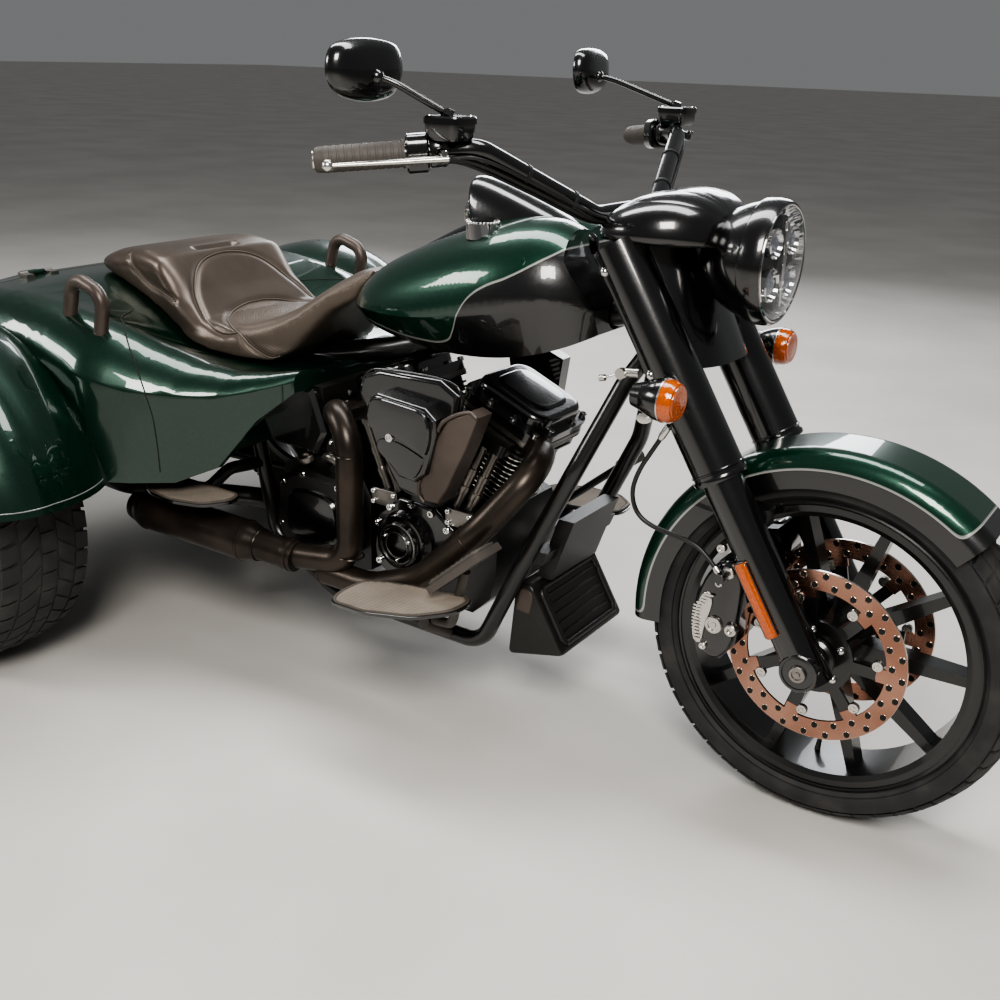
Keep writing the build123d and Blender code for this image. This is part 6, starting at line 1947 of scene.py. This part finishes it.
PEG_PLACES = ((0.470, 0.452), (0.180, 0.372))


def rib_runs(outline, pitch):
    """Ribs across an outline: each one's middle, its place out and its half length."""
    lows, highs = min(v for u, v in outline), max(v for u, v in outline)
    runs = []
    for k in range(1, int((highs - lows) / pitch)):
        y = lows + k * pitch
        cuts = []
        for (x0, y0), (x1, y1) in zip(outline, outline[1:] + outline[:1]):
            if (y0 - y) * (y1 - y) < 0:
                cuts.append(x0 + (x1 - x0) * (y - y0) / (y1 - y0))
        if len(cuts) >= 2:
            runs.append(((min(cuts) + max(cuts)) / 2, y, (max(cuts) - min(cuts)) / 2))
    return runs


class TRIKE_OT_boards(bpy.types.Operator):
    """Lay the rubber pads, ribs and edges of the floorboards and pedals"""

    bl_idname = "trike.boards"
    bl_label = "Floorboards"

    def execute(self, context):
        for name, low, hinge, tilt, corners in BOARDS:
            turn = Matrix.Rotation(math.radians(-tilt), 3, "Y")
            fore, up = turn @ AHEAD, turn @ UP
            origin = Vector((hinge, 0, low)) - fore * hinge
            for side, tag in SIDES:
                plan = eased_outline([(x, side * y) for x, y in corners], 0.02)
                mid = middle_of(plan)

                def layers(rows, round_trip=False):
                    return stacked(plan, rows, origin, fore, ACROSS, up, mid, round_trip)

                pan = shaped(f"{name}_board_pan_{tag}", *layers(BOARD_PAN), "black", "chassis", sharp=30)
                if name == "rider" and tag == "right":
                    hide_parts("floorboards")
                rim = layers(BOARD_RIM, round_trip=True)
                shaped(f"{name}_board_rim_{tag}", *rim, "rim_rubber", "chassis", sharp=40)
                shaped(f"{name}_board_pad_{tag}", *layers(BOARD_PAD), "board", "chassis", sharp=30)
                inside = [(mid[0] + (x - mid[0]) * 0.915, mid[1] + (y - mid[1]) * 0.915) for x, y in plan]
                spots = []
                for x, y, half in rib_runs(inside, RIB_PITCH):
                    spots.append((origin + fore * x + ACROSS * y + up * 0.0100, up, fore, (half, 1, 1)))
                section = ((-0.0017, 0), (-0.0011, 0.0017), (0.0011, 0.0017), (0.0017, 0))
                rib = template("rib",
                    *joined_rings([[Vector((end, y, z)) for y, z in section] for end in (-1, 1)]))
                mesh = spots_mesh("ribs", spots)
                TREES["spots"].run(f"{name}_board_ribs_{tag}", "board", "chassis", 30, mesh, template=rib)
        self.pedals()
        return {"FINISHED"}

    def pedals(self):
        """The brake pedal's rubber with its bars, and the shifter's pegs."""
        middle, turn = Vector((0.430, -0.278, 0.386)), Matrix.Rotation(math.radians(48), 3, "Y")
        fore, up = turn @ AHEAD, turn @ UP
        pad = slab_skin(round_rect(0.062, 0.142, 0.016), fore, 0.006, ACROSS, up, middle - fore * 0.0125)
        shaped("pedal_pad", *pad, "rubber", "chassis", edge=0.002)
        bar = round_rect(0.052, 0.006, 0.002, 3)
        bars = []
        for k in range(9):
            bars.append(slab_skin(bar, fore, 0.004, ACROSS, up, middle - fore * 0.0145
                + up * (0.014 * k - 0.056)))
        several("pedal_bars", bars, "rubber", "chassis", sharp=30)
        peg = [(0, 0), (0, 0.0115)]
        for k in range(6):
            peg += [(0.004 + k * 0.010, 0.0135), (0.010 + k * 0.010, 0.0135), (0.0115 + k * 0.010, 0.0118)]
        peg += [(0.068, 0.0135), (0.072, 0.011), (0.073, 0)]
        for k, (x, z) in enumerate(PEG_PLACES):
            turned(f"shift_peg_{k}", peg, (x, 0.222, z), ACROSS, "rim_rubber", "chassis", 24, 30)


# Body, tank and trim
CONSOLE_ROWS = (  # x, half width, top, foot
    (0.012, 0.008, 0.806, 0.785), (0.018, 0.020, 0.811, 0.785), (0.032, 0.028, 0.822, 0.79),
    (0.070, 0.032, 0.845, 0.80), (0.120, 0.034, 0.874, 0.83), (0.170, 0.035, 0.901, 0.86),
    (0.215, 0.037, 0.924, 0.88), (0.250, 0.040, 0.940, 0.89), (0.275, 0.042, 0.946, 0.90),
)
POD_ROWS = (  # x at the foot, half width, top, foot, lean of the section
    (0.2755, 0.050, 1.010, 0.915, -0.030), (0.2785, 0.0560, 1.018, 0.910, -0.031),
    (0.286, 0.0575, 1.020, 0.905, -0.030), (0.310, 0.0590, 1.014, 0.905, -0.020),
    (0.345, 0.0585, 1.000, 0.91, -0.008), (0.385, 0.0550, 0.984, 0.91, 0.0),
    (0.425, 0.0480, 0.968, 0.91, 0.0),
    (0.460, 0.0390, 0.955, 0.90, 0.0), (0.490, 0.0260, 0.942, 0.89, 0.0), (0.505, 0.0100, 0.930, 0.88, 0.0),
)
DIAL, DIAL_FACING = Vector((0.258, 0, 0.968)), Vector((-0.94, 0, 0.34)).normalized()
BODY_JOINT = (  # the joint between the front panel and the rear body on the right side, from its foot upwards
    (-0.235, -0.3740, 0.440), (-0.2363, -0.3744, 0.486), (-0.239, -0.3767, 0.540), (-0.243, -0.3801, 0.571),
    (-0.258, -0.3821, 0.616), (-0.302, -0.3670, 0.6685), (-0.333, -0.3507, 0.694), (-0.380, -0.3200, 0.704),
    (-0.4264, -0.2837, 0.7049), (-0.4686, -0.2215, 0.7036),
)
FLANK_ROWS = (  # x, height of the crease over the flank, lowest height
    (-0.345, 0.624, 0.417), (-0.280, 0.602, 0.417), (-0.215, 0.592, 0.417), (-0.150, 0.590, 0.448),
    (-0.090, 0.604, 0.544), (-0.034, 0.622, 0.600),
)
FLANK_LINES, FLANK_PLACES, FLANK_FRONT = 25, 41, -0.050
FLANK_DEEP = 0.006
FENDER_OUT, FENDER_UP = 0.56, 0.430  # where a rear fender's pinstripe is measured from


def arch_ring(x, half, top, foot, lean=0.0, steps=22, square=0.7):
    """An arch across the machine with a level foot. Its top leans back."""
    ring = []
    for step in range(steps + 1):
        angle = math.pi * step / steps
        side, rise = math.cos(angle), math.sin(angle)
        height = rise ** 0.75
        y = half * math.copysign(abs(side) ** square, side)
        ring.append(Vector((x + lean * height, y, foot + (top - foot) * height)))
    for step in range(1, 6):
        ring.append(Vector((x, -half + half * step / 3, foot)))
    return ring


class TRIKE_OT_body(bpy.types.Operator):
    """Joint and trim the rear body, its lamps and lid, the tank's console and the chin cover"""

    bl_idname = "trike.body"
    bl_label = "Body Trim"

    def execute(self, context):
        rings = [arch_ring(*row) for row in CONSOLE_ROWS]
        strip = shaped("console_strip", *joined_rings(rings), "black", "chassis", rounds=1, sharp=60)
        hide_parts("tank_console")
        rings = [arch_ring(*row, square=0.85) for row in POD_ROWS]
        shaped("gauge_pod", *joined_rings(rings), "black", "chassis", rounds=1, sharp=60)
        self.gauge()
        cap_low, cap_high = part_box("filler_cap")
        cap = Vector(((cap_low.x + cap_high.x) / 2, (cap_low.y + cap_high.y) / 2, cap_high.z - 0.006))
        grips = []
        for u, v in circle(28):
            out = Vector((u, v, 0))
            grips.append((cap + out * 0.029, out, 0.0024))
        fasteners("cap_grips", "dome", grips, "chrome", "chassis")
        self.panels()
        self.chin()
        self.tail()
        return {"FINISHED"}

    def gauge(self):
        """The gauge's bezel, its blank dial with marks and a needle, and the hub."""
        turned("gauge_bezel", [
            (-0.008, 0.042), (-0.008, 0.0475), (0.002, 0.0475), (0.0055, 0.0455), (0.0055, 0.0425),
            (0.001, 0.041),
            (-0.008, 0.042),
        ], DIAL, DIAL_FACING, "chrome", "chassis", 64)
        dial = [(-0.006, 0.0), (-0.006, 0.0425), (0.0005, 0.0425), (0.0005, 0.0)]
        turned("gauge_dial", dial, DIAL, DIAL_FACING, "plastic", "chassis", 64)
        first, second = across_axes(DIAL_FACING)

        def spoke(angle):
            return first * math.cos(angle) + second * math.sin(angle)

        ticks = []
        for k in range(41):
            way = spoke(math.radians(-45 + 270 * k / 40))
            long, thick = (0.003, 0.0004) if k % 5 else (0.0058, 0.0007)
            ends = [DIAL + DIAL_FACING * 0.0007 + way * radius for radius in (0.039 - long, 0.039)]
            ticks.append(tube_skin(ends, thick, 6))
        needle, root = spoke(0.4), DIAL + DIAL_FACING * 0.003
        ticks.append(tube_skin([root - needle * 0.008, root + needle * 0.030], lambda t: 0.0011 - 0.0007 * t,
            8))
        several("gauge_marks", ticks, "cut", "chassis", sharp=60)
        hub = [(0, 0.0), (0, 0.006), (0.005, 0.005), (0.0055, 0.0)]
        turned("gauge_hub", hub, DIAL, DIAL_FACING, "black", "chassis", 24)

    def panels(self):
        """The front panels of the rear body, with the joint behind them, and the fenders' pinstripes."""
        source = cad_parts["rear_body"].data
        tree = BVHTree.FromPolygons([v.co for v in source.vertices], [p.vertices for p in source.polygons])
        places, creases, feet = zip(*FLANK_ROWS)
        joint_x, joint_y, joint_z = zip(*BODY_JOINT)
        for side, tag in SIDES:
            rings = []
            for step in range(FLANK_LINES):
                share = 0.01 + 0.975 * step / (FLANK_LINES - 1)
                back = numpy.interp(0.417 + (0.600 - 0.417) * share, joint_z, joint_x)
                steps = numpy.linspace(back, FLANK_FRONT, FLANK_PLACES)
                under, over = numpy.interp(steps, places, feet), numpy.interp(steps, places, creases)
                heights = under * (1 - share) + over * share
                hits = [tree.ray_cast(Vector((x, side * 1.2, z)), (0, -side, 0))[0] for x,
                    z in zip(steps, heights)]
                depth = numpy.array([abs(hit.y) for hit in hits])
                curve = numpy.polyval(numpy.polyfit(steps, depth, 4), steps)
                curve += max((depth - curve).max(), 0) + 0.0006
                outer = [Vector((x, side * y, z)) for x, y, z in zip(steps, curve, heights)]
                rings.append(outer + [spot - ACROSS * side * FLANK_DEEP for spot in reversed(outer)])
            shaped("flank_panel_" + tag, *joined_rings(rings), "green", "chassis", sharp=60)
            seam = []
            for spot in smooth_path([(x, -side * y, z) for x, y, z in BODY_JOINT], 70):
                hit = tree.find_nearest(spot)
                seam.append(hit[0] + hit[1] * 0.0002)
            shaped("flank_joint_" + tag, *tube_skin(seam, 0.0014, 8), "void", "chassis", sharp=60)
            stripe = []
            front = REAR_AXLE.x + REAR_TYRE_R - 0.06
            for k in range(91):
                angle = math.radians(-30 + 120 * k / 90)
                spoke = Vector((math.cos(angle), side * math.sin(angle), 0))
                hit = tree.ray_cast(Vector((REAR_AXLE.x, side * FENDER_OUT, FENDER_UP)) + spoke * 0.8, -spoke)
                if hit[0] is not None and hit[0].x > front and abs(hit[0].y) > 0.45:
                    stripe.append(hit[0] + hit[1] * 0.0002)
            shaped("fender_stripe_" + tag, *tube_skin(stripe, 0.0012, 8), "stripe", "chassis", sharp=60)

    def chin(self):
        """The moulded chin cover, with a raised rim round its front and a pocket in each side."""
        outline = eased_outline([(0.424, 0.146), (0.548, 0.178), (0.470, 0.306), (0.436, 0.300)], 0.012)
        rows = ((0.93, -0.116), (0.975, -0.1135), (1.0, -0.106), (1.0, 0.106), (0.975, 0.1135), (0.93, 0.116))
        skin = stacked(outline, rows, Vector(), AHEAD, UP, ACROSS, (0.472, 0.226))
        cover = shaped("chin_shell", *skin, "plastic", "chassis", sharp=50)
        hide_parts("chin_cover")
        low, high = Vector((0.541, 0, 0.188)), Vector((0.474, 0, 0.298))
        up = (high - low).normalized()
        out = Vector((up.z, 0, -up.x))
        centre = (low + high) / 2 + out * 0.001
        rim = [centre + ACROSS * u + up * v for u, v in round_rect(0.196, (high - low).length - 0.014, 0.016)]
        skin = tube_skin(smooth_path(rim, 120, True)[:-1], 0.0062, 10, closed=True)
        shaped("chin_rim", *skin, "plastic", "chassis", sharp=60)
        slat = [(-0.084, -0.002), (0.084, -0.002), (0.084, 0.002), (-0.084, 0.002)]
        slats = []
        for k in range(5):
            slats.append(slab_skin(slat, out, 0.004, ACROSS, up, low + up * (0.028 + 0.019 * k)
                - out * 0.001))
        several("chin_slats", slats, "frame", "chassis", edge=0.0008)
        pocket = eased_outline([(0.438, 0.247), (0.470, 0.244), (0.476, 0.286), (0.462, 0.294),
            (0.448, 0.292)], 0.006)
        for side, tag in SIDES:
            skin = slab_skin(pocket, ACROSS * side, 0.0038, AHEAD, UP, ACROSS * side * 0.1135)
            shaped("chin_pocket_" + tag, *skin, "bronze", "chassis", edge=0.0015)

    def tail(self):
        """Bezels and ribs on the tail lamps, the lid's handle, and bolts on the plate's bracket."""
        low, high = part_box("tail_lamps")
        bezel = round_rect(0.110, high.z - low.z - 0.002, 0.020)
        rib = round_rect(0.086, 0.0036, 0.0015, 3)
        for side, tag in SIDES:
            centre = Vector((low.x + 0.001, side * (high.y - 0.057), (low.z + high.z) / 2))
            line = [centre + ACROSS * u + UP * v for u, v in bezel]
            shaped("lamp_bezel_" + tag, *tube_skin(line, 0.0032, 10, closed=True), "chrome", "chassis",
                sharp=60)
            ribs = []
            for k in range(5):
                spot = centre + UP * (0.016 * k - 0.032) + AHEAD * 0.0002
                ribs.append(slab_skin(rib, -AHEAD, 0.0028, ACROSS, UP, spot))
            several("lamp_ribs_" + tag, ribs, "red", "chassis", sharp=50)
        low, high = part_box("trunk_lid")
        handle = []
        for back, y in ((-0.004, -0.07), (0.014, -0.058), (0.014, 0.058), (-0.004, 0.07)):
            handle.append(Vector((low.x - back, y, low.z + 0.028)))
        tube("lid_handle", handle, 0.0062, "chrome", "lid", 40, 14)
        low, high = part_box("plate_bracket")
        middle = (low.z + high.z) / 2
        places = [Vector((low.x, y, middle + rise)) for y in (-0.072, 0.072) for rise in (-0.032, 0.032)]
        fasteners("bracket_bolts", "dome", [(place, -AHEAD, 0.006) for place in places], "chrome", "chassis")


WEIGHTED = ("rear_body", "trunk_lid", "fuel_tank", "front_fender")  # large painted parts


class TRIKE_OT_shading(bpy.types.Operator):
    """Shade the frame's own parts evenly, with only real edges sharp"""

    bl_idname = "trike.shading"
    bl_label = "Even Shading"

    def execute(self, context):
        tree = smooth_tree()
        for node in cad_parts.values():
            if not node.hide_render:
                modifier = node.modifiers.new("even_shading", "NODES")
                modifier.node_group = tree.group
                if node.name in WEIGHTED:
                    level = node.modifiers.new("level_normals", "WEIGHTED_NORMAL")
                    level.keep_sharp, level.weight = True, 100
        return {"FINISHED"}


# The photograph's camera, and a plain studio
class StageSettings(bpy.types.PropertyGroup):
    """Camera and light"""

    eye: bpy.props.FloatVectorProperty(
        name="Eye", description="Where the camera stands", default=(1.49215, -1.77989, 1.2251),
        subtype="TRANSLATION")
    heading: bpy.props.FloatProperty(
        name="Heading", description="Turn to the left of straight across", default=math.radians(33.824),
        subtype="ANGLE")
    dip: bpy.props.FloatProperty(
        name="Dip", description="How far the camera looks down", default=math.radians(21.209),
        subtype="ANGLE")
    tilt: bpy.props.FloatProperty(
        name="Tilt", description="Roll of the camera", default=math.radians(1.828), subtype="ANGLE")
    lens: bpy.props.FloatProperty(name="Lens", description="Focal length in millimetres", default=41.65)
    shift: bpy.props.FloatVectorProperty(
        name="Shift", description="Shift of the frame", size=2, default=(0.0079, 0.0023))
    light: bpy.props.FloatProperty(name="Light", description="Strength of the lights", default=1.0, min=0)


LIGHTS = (  # name, place, what it points at, width and height, watts, colour
    ("key", (2.2, -3.2, 3.4), (0.1, 0, 0.5), (1.5, 1.5), 200, (1, 0.96, 0.91)),
    ("side", (-3.2, -3.0, 2.6), (-0.4, 0, 0.5), (1.6, 1.0), 85, (1, 0.98, 0.95)),
    ("top", (-0.2, 0.3, 3.4), (-0.2, 0, 0.4), (4.2, 0.8), 120, (1, 1, 1)),
    ("back", (-1.5, 4.0, 2.4), (0, 0, 0.5), (3.4, 1.4), 100, (0.95, 0.97, 1)),
)


def area_light(name, place, aim, size, power, tint):
    """A soft rectangular light that points at a place."""
    lamp = bpy.data.lights.new(name, "AREA")
    lamp.shape = "RECTANGLE"
    lamp.size, lamp.size_y = size
    lamp.energy = power
    lamp.color = tint
    holder = bpy.data.objects.new(name, lamp)
    holder.location = place
    holder.rotation_euler = (Vector(aim) - Vector(place)).to_track_quat("-Z", "Y").to_euler()
    bpy.context.scene.collection.objects.link(holder)


class TRIKE_OT_stage(bpy.types.Operator):
    """Make the camera, the floor and the lights"""

    bl_idname = "trike.stage"
    bl_label = "Stage"

    def execute(self, context):
        look = context.scene.trike_stage
        forward = Vector((
            -math.sin(look.heading) * math.cos(look.dip), math.cos(look.heading) * math.cos(look.dip),
            -math.sin(look.dip),
        ))
        right = forward.cross(UP).normalized()
        above = right.cross(forward)
        side = math.cos(look.tilt) * right + math.sin(look.tilt) * above
        top = -math.sin(look.tilt) * right + math.cos(look.tilt) * above
        camera = bpy.data.objects.new("camera", bpy.data.cameras.new("camera"))
        turn = Matrix((side, top, -forward)).transposed()
        camera.matrix_world = Matrix.Translation(look.eye) @ turn.to_4x4()
        camera.data.lens, camera.data.sensor_width = look.lens, 36
        camera.data.shift_x, camera.data.shift_y = look.shift
        context.scene.collection.objects.link(camera)
        context.scene.camera = camera

        floor = Board("floor_finish")
        haze = floor.noise(1.3, 4)
        finish = floor.finish(
            base_color=floor.mix(haze.smooth(0.3, 0.7), (0.54, 0.52, 0.49), (0.62, 0.6, 0.57)),
            roughness=0.62,
        )
        mesh = bpy.data.meshes.new("floor")
        half = 60
        corners = ((-half, -half, 0), (half, -half, 0), (half, half, 0), (-half, half, 0))
        mesh.from_pydata(corners, [], [(0, 1, 2, 3)])
        mesh.materials.append(finish)
        ground = bpy.data.objects.new("floor", mesh)
        context.scene.collection.objects.link(ground)

        for name, place, aim, size, power, tint in LIGHTS:
            area_light(name, place, aim, size, power * look.light, tint)
        world = bpy.data.worlds.new("studio")
        world.use_nodes = True
        sky = world.node_tree.nodes["Background"]
        sky.inputs["Color"].default_value = (0.86, 0.87, 0.88, 1)
        sky.inputs["Strength"].default_value = 0.2
        context.scene.world = world
        context.scene.view_settings.view_transform = "AgX"
        context.scene.view_settings.look = "AgX - Medium High Contrast"
        return {"FINISHED"}


class TRIKE_PT_panel(bpy.types.Panel):
    """The trike's pieces in the sidebar"""

    bl_label = "Touring Trike"
    bl_idname = "TRIKE_PT_panel"
    bl_space_type = "VIEW_3D"
    bl_region_type = "UI"
    bl_category = "Trike"

    def draw(self, context):
        for operator in OPERATORS:
            self.layout.operator(operator.bl_idname)


SETTINGS = {"trike_stage": StageSettings, "trike_seat": SeatSettings}
OPERATORS = (
    TRIKE_OT_stage,
    TRIKE_OT_finishes,
    TRIKE_OT_hose,
    TRIKE_OT_headlamp,
    TRIKE_OT_cowl,
    TRIKE_OT_signals,
    TRIKE_OT_tyres,
    TRIKE_OT_brakes,
    TRIKE_OT_wheels,
    TRIKE_OT_engine,
    TRIKE_OT_intake,
    TRIKE_OT_exhaust,
    TRIKE_OT_seat,
    TRIKE_OT_controls,
    TRIKE_OT_mirrors,
    TRIKE_OT_boards,
    TRIKE_OT_body,
    TRIKE_OT_shading,
)


def register():
    for made in (*SETTINGS.values(), *OPERATORS, TRIKE_PT_panel):
        bpy.utils.register_class(made)
    for name, group in SETTINGS.items():
        setattr(bpy.types.Scene, name, bpy.props.PointerProperty(type=group))


def unregister():
    for name in SETTINGS:
        delattr(bpy.types.Scene, name)
    for made in (TRIKE_PT_panel, *reversed(OPERATORS), *SETTINGS.values()):
        bpy.utils.unregister_class(made)


def main():
    register()
    for operator in OPERATORS:
        group, name = operator.bl_idname.split(".")
        getattr(getattr(bpy.ops, group), name)()


if __name__ == "__main__":
    main()
